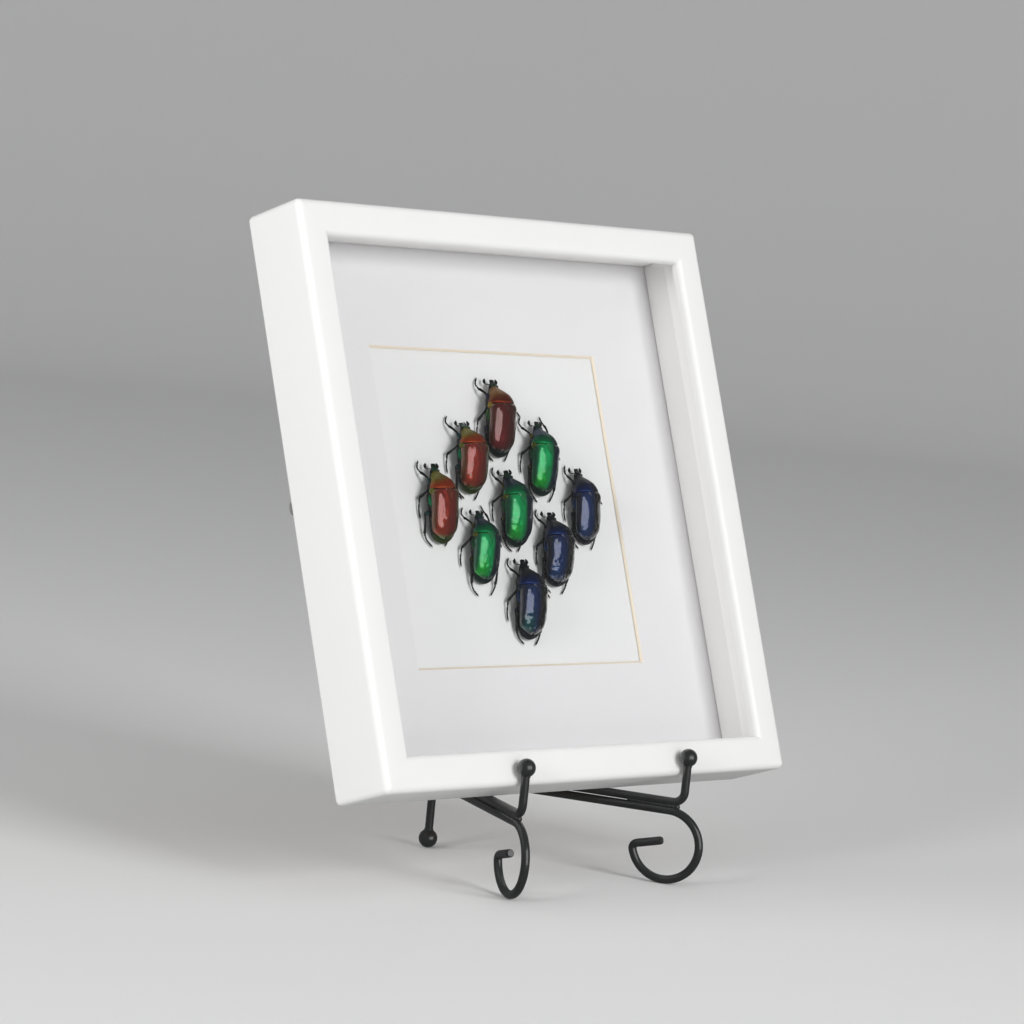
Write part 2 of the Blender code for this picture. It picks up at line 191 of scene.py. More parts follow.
# %% Camera
CAMERA_AT = Vector((-1190.8, -1120.45, 296.85)) * MM
HEADING = math.radians(46.41)
PITCH_DOWN = math.radians(4.91)
ROLL = math.radians(5.63)
LENS = 133.13


def make_camera():
    data = bpy.data.cameras.new("camera")
    data.sensor_width = 36
    data.lens = LENS
    data.clip_start = 0.05
    data.clip_end = 50
    ahead = Vector((math.sin(HEADING) * math.cos(PITCH_DOWN), math.cos(HEADING) * math.cos(PITCH_DOWN),
                    -math.sin(PITCH_DOWN)))
    level = Vector((math.cos(HEADING), -math.sin(HEADING), 0))
    above = level.cross(ahead)
    right = level * math.cos(ROLL) + above * math.sin(ROLL)
    up = above * math.cos(ROLL) - level * math.sin(ROLL)
    camera = add_object("camera", data)
    camera.matrix_world = Matrix.Translation(CAMERA_AT) @ Matrix((right, up, -ahead)).transposed().to_4x4()
    bpy.context.scene.camera = camera
    return camera


camera = make_camera()
print("camera looks along", [round(x, 3) for x in -camera.matrix_world.col[2].xyz])

# %% [markdown]
# A studio sweep is one sheet of pale paper that lies flat under the object and curves up far behind it, so no
# horizon shows. Here it is a disc whose rim curves up all round, wide enough that no other view meets it.

# %% Floor
FLOOR_FLAT = 3.2
FLOOR_CURVE = 1.2
FLOOR_WALL = 1.6
FLOOR_SIDES = 96


def make_floor():
    outline = [(FLOOR_FLAT * t, 0) for t in (0.05, 0.3, 0.6, 0.9, 1)]
    outline += [
        (FLOOR_FLAT + FLOOR_CURVE * math.sin(a), FLOOR_CURVE * (1 - math.cos(a)))
        for a in np.linspace(0.1, math.pi / 2, 12)]
    outline.append((FLOOR_FLAT + FLOOR_CURVE, FLOOR_CURVE + FLOOR_WALL))
    points = [(reach * math.cos(turn), reach * math.sin(turn), height)
              for reach, height in outline for turn in round_angles(FLOOR_SIDES)]
    faces = [list(range(FLOOR_SIDES))] + [face[::-1] for face in ring_faces(len(outline), FLOOR_SIDES)]
    mesh = bpy.data.meshes.new("floor")
    mesh.from_pydata(points, [], faces)
    mesh.shade_smooth()
    look, _, shader = new_look("floor paper")
    set_inputs(shader, {"Base Color": (0.80, 0.80, 0.795, 1), "Roughness": 0.9, "Specular IOR Level": 0.1})
    mesh.materials.append(look)
    floor = add_object("floor", mesh)


make_floor()

# %% [markdown]
# Soft light comes from area lamps. A large one stands in front of the frame and is only mirrored: it draws
# the broad highlight down the left wing case of each beetle. The others only light, and nothing glossy mirrors
# them. The main one shines square on the card, so each beetle hides the card under its own overhang, and two
# at the left lift the inner wall and the frame's outer side.

# %% Lamps
AIM = Vector((0, 0, 0.165))                     # about the middle of the frame, in metres


def softbox(name, azimuth, elevation, distance, size, power, mirrored=False):
    """An area lamp; azimuth 0 is in front of the object and 90 at its right, both angles in degrees."""
    turn, rise = math.radians(azimuth), math.radians(elevation)
    away = Vector((math.sin(turn) * math.cos(rise), -math.cos(turn) * math.cos(rise), math.sin(rise)))
    data = bpy.data.lights.new(name, "AREA")
    data.shape = "RECTANGLE"
    data.size, data.size_y = size
    data.energy = power
    lamp = add_object(name, data)
    lamp.visible_camera = False
    lamp.visible_glossy = mirrored
    lamp.visible_diffuse = not mirrored
    lamp.location = AIM + away * distance
    lamp.rotation_euler = away.to_track_quat("Z", "Y").to_euler()


softbox("mirrored softbox", -4, 10, 2.3, (2.3, 1.7), 24.0, True)
softbox("main softbox", 3, 21, 2.3, (1.0, 1.0), 32.5)
softbox("grazing softbox", -80, 15, 2.5, (0.6, 0.9), 21.5)
softbox("left softbox", -108, 20, 2.3, (1.2, 1.4), 13.5)

# %% [markdown]
# The room is light, but enamel and iron look deep only where they mirror something darker than the walls of a
# light tent. So the world is dimmer for mirrored rays, and they don't meet the floor.

# %% World
ROOM_LIGHT = 0.35
MIRRORED_ROOM = 0.10


def make_world():
    world = bpy.data.worlds.new("studio")
    world.use_nodes = True
    tree = world.node_tree
    path = add_node(tree, "ShaderNodeLightPath")
    level = add_node(tree, "ShaderNodeMapRange", {
        "Value": path.outputs["Is Glossy Ray"], "To Min": ROOM_LIGHT, "To Max": MIRRORED_ROOM})
    set_inputs(tree.nodes["Background"], {"Color": (0.98, 0.985, 1, 1), "Strength": level})
    bpy.context.scene.world = world


make_world()
bpy.data.objects["floor"].visible_glossy = False
bpy.context.scene.view_settings.view_transform = "Standard"
print("lamps:", [lamp.name for lamp in bpy.data.lights])

# %% [markdown]
# Nothing real has one flat colour. Paint, paper, board and iron all share one effect: two close tones mixed
# by noise, and the same noise as a slight relief. It is built once as a shader group. Its stretch makes brush
# marks out of spots.

# %% Mottle group
def make_mottle():
    tree, given = new_group("mottle", "Shader", (
        ("Tone A", "Color", (0.8, 0.8, 0.8, 1)), ("Tone B", "Color", (0.7, 0.7, 0.7, 1)),
        ("Patch Scale", "Float", 30.0), ("Grain Scale", "Float", 900.0), ("Stretch", "Vector", (1, 1, 1)),
    ), (("Colour", "Color"), ("Grain", "Float")))
    where = add_node(tree, "ShaderNodeTexCoord").outputs["Object"]
    mapping = add_node(tree, "ShaderNodeMapping", {"Vector": where, "Scale": given["Stretch"]})
    patches, grain = (
        add_node(tree, "ShaderNodeTexNoise", {"Vector": mapping, "Scale": given[label], "Detail": detail})
        for label, detail in (("Patch Scale", 3.0), ("Grain Scale", 6.0)))
    both = add_math(tree, "MULTIPLY_ADD", patches, 0.6, add_math(tree, "MULTIPLY", grain, 0.4))
    colour = mix_colours(tree, both, given["Tone A"], given["Tone B"])
    add_node(tree, "NodeGroupOutput", {"Colour": colour, "Grain": grain})
    return tree


mottle = make_mottle()


def mottled(name, tone_a, tone_b, patch, grain, roughness, relief, stretch=(1, 1, 1), **sockets):
    """A material that uses the mottle group for its colour and, with relief in metres, for its bump."""
    look, tree, shader = new_look(name)
    group = add_node(tree, "ShaderNodeGroup", node_tree=mottle, inputs={
        "Tone A": (*tone_a, 1), "Tone B": (*tone_b, 1), "Patch Scale": patch, "Grain Scale": grain,
        "Stretch": stretch})
    bump = add_node(tree, "ShaderNodeBump", {
        "Height": group.outputs["Grain"], "Strength": 1.0, "Distance": relief})
    set_inputs(shader, {"Base Color": group.outputs["Colour"], "Normal": bump, "Roughness": roughness})
    set_inputs(shader, {label.replace("_", " "): value for label, value in sockets.items()})
    return look


# %% [markdown]
# The box frame is wood under sprayed white paint, which fills the mitres and rounds every edge, so one
# seamless ring stands for the four rails. Its section is drawn once and carried round the square. A point of
# the section that lies further in goes round with a tighter corner.

# %% Box frame
OUTER_CORNER = 2.6
INNER_CORNER = 0.35
FRONT_ROUND = 3.0
LIP_ROUND = 2.4
BACK_ROUND = 2.0
EDGE_ROUND = 0.4
ROUND_STEPS = 7
CORNER_STEPS = 8


def rounded_outline(corners, steps):
    """The outline through corners (a, b, radius), each rounded by an arc."""
    outline = []
    for index, (a, b, radius) in enumerate(corners):
        corner = Vector((a, b))
        before = (Vector(corners[index - 1][:2]) - corner).normalized()
        after = (Vector(corners[(index + 1) % len(corners)][:2]) - corner).normalized()
        centre = corner + (before + after) * radius
        for turn in np.linspace(0, math.pi / 2, steps + 1):
            outline.append(centre - after * radius * math.cos(turn) - before * radius * math.sin(turn))
    return outline


def make_frame():
    section = rounded_outline((
        (0, 0, FRONT_ROUND),
        (0, FRAME_DEPTH, BACK_ROUND),
        (WALL_THICK, FRAME_DEPTH, EDGE_ROUND),
        (WALL_THICK, LIP_THICK, EDGE_ROUND),
        (LIP_WIDTH, LIP_THICK, EDGE_ROUND),
        (LIP_WIDTH, 0, LIP_ROUND),
    ), ROUND_STEPS)
    points = []
    for inward, depth in section:
        radius = max(OUTER_CORNER - inward, INNER_CORNER)
        straight = FRAME_SIZE / 2 - inward - radius
        for quarter in range(4):
            across = math.copysign(straight, math.cos((quarter + 0.5) * math.pi / 2))
            up = math.copysign(straight, math.sin((quarter + 0.5) * math.pi / 2))
            for turn in np.linspace(0, math.pi / 2, CORNER_STEPS + 1) + quarter * math.pi / 2:
                points.append((
                    across + radius * math.cos(turn), depth, FRAME_SIZE / 2 + up + radius * math.sin(turn)))
    faces = ring_faces(len(section), 4 * (CORNER_STEPS + 1), closed=True)
    return mesh_from("painted_frame", points, faces, LEANING)


white_paint = mottled("white paint", (0.85, 0.85, 0.838), (0.82, 0.821, 0.811), 22, 1400, 0.42, 0.000012,
                      Coat_Weight=0.12, Coat_Roughness=0.25)
finish_piece("painted_frame", make_frame(), white_paint,
             ("rail_bottom", "rail_left", "rail_top", "rail_right"), 30)

# %% [markdown]
# Behind the lip come flat sheets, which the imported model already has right, so they only need finishes: clear
# glass, strips of white card that line the walls, the mat, the card that the beetles lie on and the board at
# the back. The glass lets lamplight through by a Light Path switch, since traced light would otherwise stop.

# %% Glass
def make_glass():
    look, tree, shader = new_look("clear glass")
    set_inputs(shader, {
        "Base Color": (0.995, 1, 0.998, 1), "Roughness": 0.0, "Transmission Weight": 1.0, "IOR": 1.45,
        "Specular IOR Level": 0.12})
    path = add_node(tree, "ShaderNodeLightPath")
    clear = add_node(tree, "ShaderNodeBsdfTransparent")
    seen = shader
    for ray in ("Is Shadow Ray", "Is Reflection Ray"):
        seen = add_node(tree, "ShaderNodeMixShader", {"Fac": path.outputs[ray], 1: seen, 2: clear})
    set_inputs(tree.nodes["Material Output"], {"Surface": seen})
    return look


refinish("glass_pane", make_glass())

# %% [markdown]
# The mat's bevel shows the cream core of the board. Its edge is straight and exact, so a mask made from the place on
# the board colours it: a Mapping node turns the place into the leaning frame's own directions, and everything nearer
# the middle than the window's edge is core. Towards the back of the bevel the core turns darker and peachier, which is
# painted shade.

# %% Papers
def make_mat_board():
    look = mottled("mat board", (0.80, 0.79, 0.80), (0.775, 0.765, 0.778), 60, 2600, 0.9, 0.00003,
                   Specular_IOR_Level=0.25)
    tree = look.node_tree
    where = add_node(tree, "ShaderNodeTexCoord").outputs["Object"]
    mapping = add_node(tree, "ShaderNodeMapping", vector_type="TEXTURE", inputs={
        "Vector": where, "Location": LEANING @ Vector((0, CARD_FRONT, FRAME_SIZE / 2)),
        "Rotation": (-TILT, 0, 0)})
    apart = add_node(tree, "ShaderNodeSeparateXYZ", {"Vector": mapping}).outputs
    reach = add_math(tree, "MAXIMUM", *(add_math(tree, "ABSOLUTE", apart[axis]) for axis in "XZ"))
    depth = add_node(tree, "ShaderNodeMapRange", {
        "Value": reach, "From Min": (WINDOW / 2 - BEVEL) * MM, "From Max": WINDOW / 2 * MM})
    # Painted shade: the core colour is darker towards the back of the bevel.
    core_with_shade = add_node(tree, "ShaderNodeValToRGB", {"Fac": depth})
    core_with_shade.color_ramp.elements[0].color = (0.82, 0.71, 0.56, 1)
    core_with_shade.color_ramp.elements[1].color = (0.84, 0.77, 0.67, 1)
    inside = add_math(tree, "LESS_THAN", reach, (WINDOW / 2 - 0.02) * MM)
    colour = mix_colours(tree, inside, tree.nodes["Group"].outputs["Colour"], core_with_shade)
    set_inputs(tree.nodes["Principled BSDF"], {"Base Color": colour})
    return look


refinish("window_mat", make_mat_board())
refinish("backing_card", mottled(
    "card", (0.82, 0.825, 0.82), (0.79, 0.795, 0.79), 45, 2200, 0.85, 0.00002, Specular_IOR_Level=0.3))
spacer_card = mottled("spacer card", (0.88, 0.87, 0.86), (0.85, 0.84, 0.83), 50, 1800, 0.7, 0.00002)
for side in ("top", "bottom", "left", "right"):
    refinish("spacer_" + side, spacer_card)
refinish("back_board", mottled(
    "hardboard", (0.33, 0.215, 0.125), (0.21, 0.125, 0.065), 120, 1100, 0.75, 0.00006))
print("sheets refinished")

# %% [markdown]
# Four steel turn buttons hold the board. One plate with a domed, slotted screw is modelled at the bottom
# rail, and a Geometry Nodes tree sets it round the middle of the frame. The number of buttons is an input.

# %% Turn buttons
BUTTON_LENGTH = 17.0
BUTTON_WIDTH = 7.0
BUTTON_THICK = 0.8
BUTTON_INWARD = 4.0
BUTTON_EDGE = 0.2
BUTTON_ROUND = 3.0
SCREW_R = 2.3
SCREW_HIGH = 0.9
SCREW_RIM = 0.25                                # height at which the screw's dome starts
SCREW_SIDES = 40
SLOT_WIDE = 0.55
SLOT_DEEP = 0.35
SLOT_LEAN = 0.5
BACK_GAP = 0.3


def make_plate():
    """One plate lying on the back of the bottom rail, with its screw, in millimetres."""
    half = BUTTON_WIDTH / 2
    far = BUTTON_LENGTH - half
    corners = ((-half, -half), (half, -half), (half, far), (-half, far))
    outline = rounded_outline([(*corner, BUTTON_ROUND) for corner in corners], 8)
    bm = bmesh.new()
    face = bm.faces.new([bm.verts.new((x, 0, z)) for x, z in outline])
    pulled = bmesh.ops.extrude_face_region(bm, geom=[face])
    top = [part for part in pulled["geom"] if isinstance(part, bmesh.types.BMVert)]
    bmesh.ops.translate(bm, vec=(0, BUTTON_THICK, 0), verts=top)
    rim = [edge for edge in bm.edges if all(vert in top for vert in edge.verts)]
    bmesh.ops.bevel(bm, geom=rim, offset=BUTTON_EDGE, segments=3, affect="EDGES", profile=0.5)
    dome = SCREW_HIGH - SCREW_RIM
    rings = [(SCREW_R, 0.0), (SCREW_R, SCREW_RIM)]
    rings += [(SCREW_R * math.cos(a), SCREW_RIM + dome * math.sin(a)) for a in np.linspace(0.15, 1.45, 8)]
    verts = [bm.verts.new((radius * math.cos(turn), BUTTON_THICK + high, radius * math.sin(turn)))
             for radius, high in rings for turn in round_angles(SCREW_SIDES)]
    for face in ring_faces(len(rings), SCREW_SIDES):
        bm.faces.new([verts[point] for point in face])
    bm.faces.new(verts[:SCREW_SIDES])
    bm.faces.new(verts[-SCREW_SIDES:])
    for vert in verts[4 * SCREW_SIDES:]:
        if abs(vert.co.x + SLOT_LEAN * vert.co.z) < SLOT_WIDE:
            vert.co.y -= SLOT_DEEP
    bmesh.ops.recalc_face_normals(bm, faces=bm.faces)
    bmesh.ops.translate(bm, vec=(0, FRAME_DEPTH + BACK_GAP, BUTTON_INWARD), verts=bm.verts)
    mesh = bpy.data.meshes.new("turn_buttons")
    bm.to_mesh(mesh)
    bm.free()
    return mesh


def set_round_tree():
    """Geometry Nodes: copies of the mesh turned about a centre, around Y, in equal steps."""
    tree, given = new_group("set round the frame", "Geometry", (
        ("Geometry", "Geometry"), ("Count", "Int", 4), ("Centre", "Vector", (0, 0, 0)),
        ("Finish", "Material"),
    ), (("Geometry", "Geometry"),))
    whole = add_node(tree, "GeometryNodeGeometryToInstance", {0: given["Geometry"]})
    copies = add_node(tree, "GeometryNodeDuplicateElements", domain="INSTANCE", inputs={
        "Geometry": whole, "Amount": given["Count"]})
    step = add_math(tree, "DIVIDE", 2 * math.pi, given["Count"])
    angle = add_math(tree, "MULTIPLY", step, copies.outputs["Duplicate Index"])
    turned = add_node(tree, "GeometryNodeRotateInstances", {
        "Instances": copies, "Rotation": add_node(tree, "ShaderNodeCombineXYZ", {"Y": angle}),
        "Pivot Point": given["Centre"], "Local Space": False})
    return end_group(tree, given, turned)


def grown(name, source, tree, **values):
    """The plain mesh that a Geometry Nodes tree makes of a source mesh, with its inputs set by name."""
    holder = add_object(name, source)
    modifier = holder.modifiers.new(name, "NODES")
    modifier.node_group = tree
    for item in tree.interface.items_tree:
        if item.in_out == "INPUT" and item.name.replace(" ", "_") in values:
            modifier[item.identifier] = values[item.name.replace(" ", "_")]
    depsgraph = bpy.context.evaluated_depsgraph_get()
    mesh = bpy.data.meshes.new_from_object(holder.evaluated_get(depsgraph), depsgraph=depsgraph)
    bpy.data.objects.remove(holder, do_unlink=True)
    return mesh


steel = mottled("zinc steel", (0.62, 0.62, 0.60), (0.52, 0.52, 0.51), 400, 5000, 0.42, 0.00001, (1, 1, 8),
                Metallic=0.7)
buttons = grown("turn_buttons", make_plate(), set_round_tree(),
                Count=4, Centre=(0, 0, FRAME_SIZE / 2), Finish=steel)
buttons.transform(LEANING)
finish_piece("turn_buttons", buttons, steel,
             tuple("turn_button_" + side for side in ("bottom", "left", "top", "right")))

# %% [markdown]
# The easel is bent from one thickness of round rod. Each wing lies in its own upright plane, which runs back
# towards the middle, so a bend is drawn there as a distance back and a height. The routes are the packed
# model's: straight runs and arcs.

# %% Easel routes
ROD = 1.85
EASEL_X = 4.0
LEG_SPREAD = 50.4
LEG_SPLAY = math.radians(24.3)
SCROLL_R = 15.3
SCROLL_BACK = 4.4
SCROLL_CURL = math.radians(345)
CURL_R = 2.3
CURL_RISE = math.radians(14)
CURL_LENGTH = 12.0
ARM_END = 112.0
ARM_UP = ROD + 2 * SCROLL_R                     # height of the lower arm's middle line
HOOK_UP = ARM_UP + 2 * ROD + 0.3
HOOK_BACK = -2.0
HOOK_BEND_R = 5.0
BALL_UP = 7.6
BALL_R = 4.0
REST_BEND_BACK = 70.0
REST_BEND_R = 12.0
REST_TOP = (109.5, 208.0)
POST_BACK = 101.5
FOOT_BALL_R = 4.2
FINIAL_UP = 221.2
BALL_TOP = FRONT_EDGE.z / MM + BALL_UP


def arc(centre, radius, start, end, steps):
    return [(centre[0] + radius * math.cos(a), centre[1] + radius * math.sin(a))
            for a in np.linspace(start, end, steps + 1)]


def on_wing(side, route):
    """World points in metres of a route (back, up) on a wing; side is -1 left or 1 right."""
    return [Vector((EASEL_X + side * (LEG_SPREAD - back * math.sin(LEG_SPLAY)),
                    FRONT_EDGE.y / MM + back * math.cos(LEG_SPLAY), up)) * MM for back, up in route]


def scroll_route():
    centre = (SCROLL_BACK, ROD + SCROLL_R)
    turn = SCROLL_CURL - 2 * math.pi
    inner = SCROLL_R - CURL_R
    curl = (centre[0] + inner * math.cos(turn), centre[1] + inner * math.sin(turn))
    small = arc(curl, CURL_R, turn, math.pi / 2 - CURL_RISE, 14)
    heading = math.pi - CURL_RISE
    tip = (small[-1][0] + CURL_LENGTH * math.cos(heading), small[-1][1] + CURL_LENGTH * math.sin(heading))
    return [(ARM_END, ARM_UP)] + arc(centre, SCROLL_R, math.pi / 2, SCROLL_CURL, 80) + small[1:] + [tip]


def hook_route():
    bend = arc((HOOK_BACK + HOOK_BEND_R, HOOK_UP + HOOK_BEND_R), HOOK_BEND_R, math.pi, 1.5 * math.pi, 16)
    rise = math.atan2(REST_TOP[1] - HOOK_UP, REST_TOP[0] - REST_BEND_BACK)
    start = REST_BEND_BACK - REST_BEND_R * math.tan(rise / 2)
    turn = arc((start, HOOK_UP + REST_BEND_R), REST_BEND_R, -math.pi / 2, rise - math.pi / 2, 20)
    return [(HOOK_BACK, BALL_TOP)] + bend + turn + [REST_TOP]


# %% [markdown]
# A rod follows a path, which is a job for Geometry Nodes: the path becomes a curve, is cut into short even
# steps, and a circle is drawn along it. The sawn end is a little rounded over, so the tree narrows the last
# millimetre of each end.

# %% Rod tree
def rod_tree():
    tree, given = new_group("bent rod", "Geometry", (
        ("Geometry", "Geometry"), ("Radius", "Float", 0.002), ("Step", "Float", 0.0006), ("Sides", "Int", 18),
        ("End Round", "Float", 0.001), ("Finish", "Material"),
    ), (("Geometry", "Geometry"),))
    path = add_node(tree, "GeometryNodeMeshToCurve", {"Mesh": given["Geometry"]})
    even = add_node(tree, "GeometryNodeResampleCurve", {"Curve": path, "Length": given["Step"]}, mode="LENGTH")
    along = add_node(tree, "GeometryNodeSplineParameter").outputs["Length"]
    left = add_math(tree, "SUBTRACT", add_node(tree, "GeometryNodeSplineLength"), along)
    narrow = add_node(tree, "ShaderNodeMapRange", interpolation_type="SMOOTHSTEP", inputs={
        "Value": add_math(tree, "MINIMUM", along, left), "From Max": given["End Round"],
        "To Min": 0.74, "To Max": 1.0})
    circle = add_node(tree, "GeometryNodeCurvePrimitiveCircle", {
        "Resolution": given["Sides"], "Radius": given["Radius"]})
    drawn = add_node(tree, "GeometryNodeCurveToMesh", {
        "Curve": even, "Profile Curve": circle, "Scale": narrow, "Fill Caps": True})
    return end_group(tree, given, drawn)


bent_rod = rod_tree()


def path_mesh(points):
    mesh = bpy.data.meshes.new("path")
    mesh.from_pydata(points, [(i, i + 1) for i in range(len(points) - 1)], [])
    return mesh


# %% [markdown]
# Each rod with a ball is finished by a sphere and a thin collar where the rod enters it. The rods are welded
# where they run together: a row of beads fills the groove between them, set along the seam by a second small
# tree with a fixed seed. Short rows of the same beads join the ends of the bent rods to the back post.

# %% Easel pieces
COLLAR_R = ROD * 1.12
COLLAR_THICK = 0.7
COLLAR_AT = 0.93                                # its distance from the ball's centre, as a share of the radius


def add_ball(bm, at, radius, away):
    """A ball with a collar; away is the direction in which its rod leaves."""
    turn = away.to_track_quat("Z", "Y").to_matrix().to_4x4()
    bmesh.ops.create_uvsphere(bm, u_segments=40, v_segments=24, radius=radius * MM,
                              matrix=Matrix.Translation(at) @ turn)
    collar = at + away * (radius * COLLAR_AT) * MM
    bmesh.ops.create_cone(bm, cap_ends=True, segments=28, radius1=COLLAR_R * MM, radius2=COLLAR_R * MM,
                          depth=COLLAR_THICK * MM, matrix=Matrix.Translation(collar) @ turn)


def make_rod(name, points, nodes, balls=()):
    mesh = grown(name, path_mesh(points), bent_rod, Radius=ROD * MM, Step=0.8 * MM, Sides=18,
                 End_Round=1.0 * MM, Finish=iron)
    bm = bmesh.new()
    bm.from_mesh(mesh)
    for ball in balls:
        add_ball(bm, *ball)
    bmesh.ops.recalc_face_normals(bm, faces=bm.faces)
    bm.to_mesh(mesh)
    bm.free()
    finish_piece(name, mesh, iron, nodes)


def bead_tree():
    tree, given = new_group("weld beads", "Geometry", (
        ("Geometry", "Geometry"), ("Spacing", "Float", 0.0009), ("Bead Radius", "Float", 0.0012),
        ("Seed", "Int", 4), ("Finish", "Material"),
    ), (("Geometry", "Geometry"),))
    path = add_node(tree, "GeometryNodeMeshToCurve", {"Mesh": given["Geometry"]})
    spots = add_node(tree, "GeometryNodeCurveToPoints", mode="LENGTH", inputs={
        "Curve": path, "Length": given["Spacing"]})
    bead = add_node(tree, "GeometryNodeMeshUVSphere", {
        "Segments": 14, "Rings": 9, "Radius": given["Bead Radius"]})
    uneven = add_node(tree, "FunctionNodeRandomValue", data_type="FLOAT", inputs={
        2: 0.9, 3: 1.08, "Seed": given["Seed"]})
    placed = add_node(tree, "GeometryNodeInstanceOnPoints", {
        "Points": spots, "Instance": bead, "Scale": uneven.outputs[1]})
    return end_group(tree, given, placed)


iron = mottled("black iron paint", (0.026, 0.027, 0.027), (0.014, 0.0145, 0.015), 160, 2600, 0.32, 0.00002,
               Coat_Weight=0.85, Coat_Roughness=0.08)
DOWN = Vector((0, 0, -1))
for side, word in ((-1, "left"), (1, "right")):
    make_rod("easel_scroll_" + word, on_wing(side, scroll_route()), ("scroll_leg_" + word,))
    hook = on_wing(side, hook_route())
    make_rod("easel_hook_" + word, hook, ("hook_rod_" + word,), [(hook[0], BALL_R, DOWN)])
foot = Vector((EASEL_X, FRONT_EDGE.y / MM + POST_BACK, FOOT_BALL_R)) * MM
finial = Vector((EASEL_X, FRONT_EDGE.y / MM + POST_BACK, FINIAL_UP)) * MM
make_rod("easel_post", [foot, finial], ("back_post",), [(foot, FOOT_BALL_R, -DOWN), (finial, BALL_R, DOWN)])

WELD_FROM = 1.0
WELD_TO = 22.5
POST_WELDS = {"low": (ARM_END - 1.2, ARM_UP), "high": (REST_TOP[0] - 0.8, REST_TOP[1] - 1.5)}
POST_SHARE = 0.3                                # of the way from the post's middle back to the rod, where they end
beads = bead_tree()
seam_up = (ARM_UP + HOOK_UP) / 2
seams = {}
for side, word in ((-1, "left"), (1, "right")):
    seams["weld_" + word] = on_wing(side, [(WELD_FROM, seam_up), (WELD_TO, seam_up)])
    for place, rod_end in POST_WELDS.items():
        end = on_wing(side, [rod_end])[0]
        seams[f"weld_{place}_{word}"] = [end, Vector((foot.x, foot.y, end.z)).lerp(end, POST_SHARE)]
for name, seam in seams.items():
    mesh = grown(name, path_mesh(seam), beads, Spacing=0.9 * MM, Bead_Radius=1.45 * MM, Seed=4, Finish=iron)
    finish_piece(name, mesh, iron, (), 60)

# %% [markdown]
# The specimens are flower beetles. Each is one dried body, drawn once in its own directions: x across, y from
# the tail at 0 to the head at 34 and z up from the card, in millimetres. Every part of it is a loft, a skin
# over rings of points, so one helper gathers lofts into one mesh. It also keeps a colour for every point,
# because a beetle's colour changes smoothly with the place on its body.

# %% Lofts
DRAWN_LENGTH = 34.0


def blend_in(value, start, end):
    """0 at start, 1 at end, smooth between."""
    share = min(max((value - start) / (end - start), 0.0), 1.0)
    return share * share * (3 - 2 * share)


def mix_tints(first, second, share):
    return tuple(a + (b - a) * share for a, b in zip(first, second))


def add_loft(body, rings, tint):
    """Adds a closed skin over rings of points; tint gives the colour at a point."""
    first, around = len(body["points"]), len(rings[0])
    for ring in rings:
        body["points"] += ring
        body["tints"] += [tint(*point) for point in ring]
    body["faces"] += [tuple(first + point for point in face) for face in ring_faces(len(rings), around)]
    last = len(body["points"])
    body["faces"] += [tuple(range(first, first + around)), tuple(range(last - around, last))]


def smooth_through(keys, count):
    """Points on a smooth curve through the keys, each a row of numbers."""
    keys = np.array(keys, float)
    spread = np.concatenate([[2 * keys[0] - keys[1]], keys, [2 * keys[-1] - keys[-2]]])
    made = []
    for at in np.linspace(0, len(keys) - 1, count):
        cell = min(int(at), len(keys) - 2)
        t = at - cell
        a, b, c, d = spread[cell:cell + 4]
        made.append(0.5 * (2 * b + (c - a) * t + (2 * a - 5 * b + 4 * c - d) * t ** 2
                           + (3 * b - a - 3 * c + d) * t ** 3))
    return made


def add_tube(body, path, sides, tint, flat=1.0):
    """Adds a tube along a path of (x, y, z, radius); flat below 1 thins it upwards."""
    rings = []
    for index, (x, y, z, radius) in enumerate(path):
        before, after = path[max(index - 1, 0)], path[min(index + 1, len(path) - 1)]
        ahead = Vector(after[:3]) - Vector(before[:3])
        aside = ahead.cross(Vector((0, 0, 1))).normalized()
        above = aside.cross(ahead).normalized() * flat
        centre = Vector((x, y, z))
        rings.append([tuple(centre + (aside * math.cos(turn) + above * math.sin(turn)) * radius)
                      for turn in round_angles(sides)])
    add_loft(body, rings, tint)


# %% [markdown]
# The back has a flattened superellipse for its section. These few curves give the half width and the height
# of the widest line and of the top, for the wing cases and for the body under them, whose tail shows behind.
# A dried beetle rests on its tail, its front held up by the legs, so the widest line climbs to the front.

# %% Body lines
ARCH_POWER = 0.78                               # below 1 the arch of the back is flatter than an ellipse
CASE_TAIL = 1.5                                 # wing cases run from here
CASE_FRONT = 21.95                              # to here
SHIELD_TIP = 16.9                               # hind point of the small shield between them
SHIELD_FRONT = 22.1
SHIELD_HALF = 2.3
CASE_WIDTH = ((8, 7.15), (12, 7.2), (15, 7.1), (17, 7.15), (19, 7.35), (20.8, 7.15), (22, 6.35))
CASE_RISE = ((8, 3.5), (12, 3.8), (16, 3.85), (19.5, 3.65), (22, 3.25))
WIDEST_UP = (
    (0, 1.8), (3, 2.8), (5, 3.4), (12, 5.2), (18, 6.5), (21, 7.0), (24, 6.8), (26, 6.4), (28, 5.3), (30, 3.9),
    (31, 3.7))
PRONOTUM = (                                    # along, half width, rise
    (22.03, 6.1, 2.75), (22.1, 6.4, 3.02), (22.28, 6.56, 3.15), (22.6, 6.56, 3.18), (23.3, 6.35, 3.14),
    (24.2, 5.95, 3.05), (25.2, 5.45, 2.9), (26.2, 4.85, 2.65), (27.2, 4.15, 2.35), (28.2, 3.35, 1.95),
    (29.2, 2.5, 1.5), (30.0, 1.95, 1.15), (30.5, 1.7, 0.9), (30.8, 1.4, 0.6),
)


def read_line(keys, at):
    return float(np.interp(at, [key[0] for key in keys], [key[1] for key in keys]))


def rounded_end(along, end, start, power, root):
    """1 from start on, falling to 0 at the end with a rounded outline."""
    if along >= start:
        return 1.0
    return max(1 - ((start - along) / (start - end)) ** power, 0.0) ** (1 / root)


def case_half_width(along):
    return read_line(CASE_WIDTH, along) * rounded_end(along, CASE_TAIL, 9.5, 2.5, 1.9)


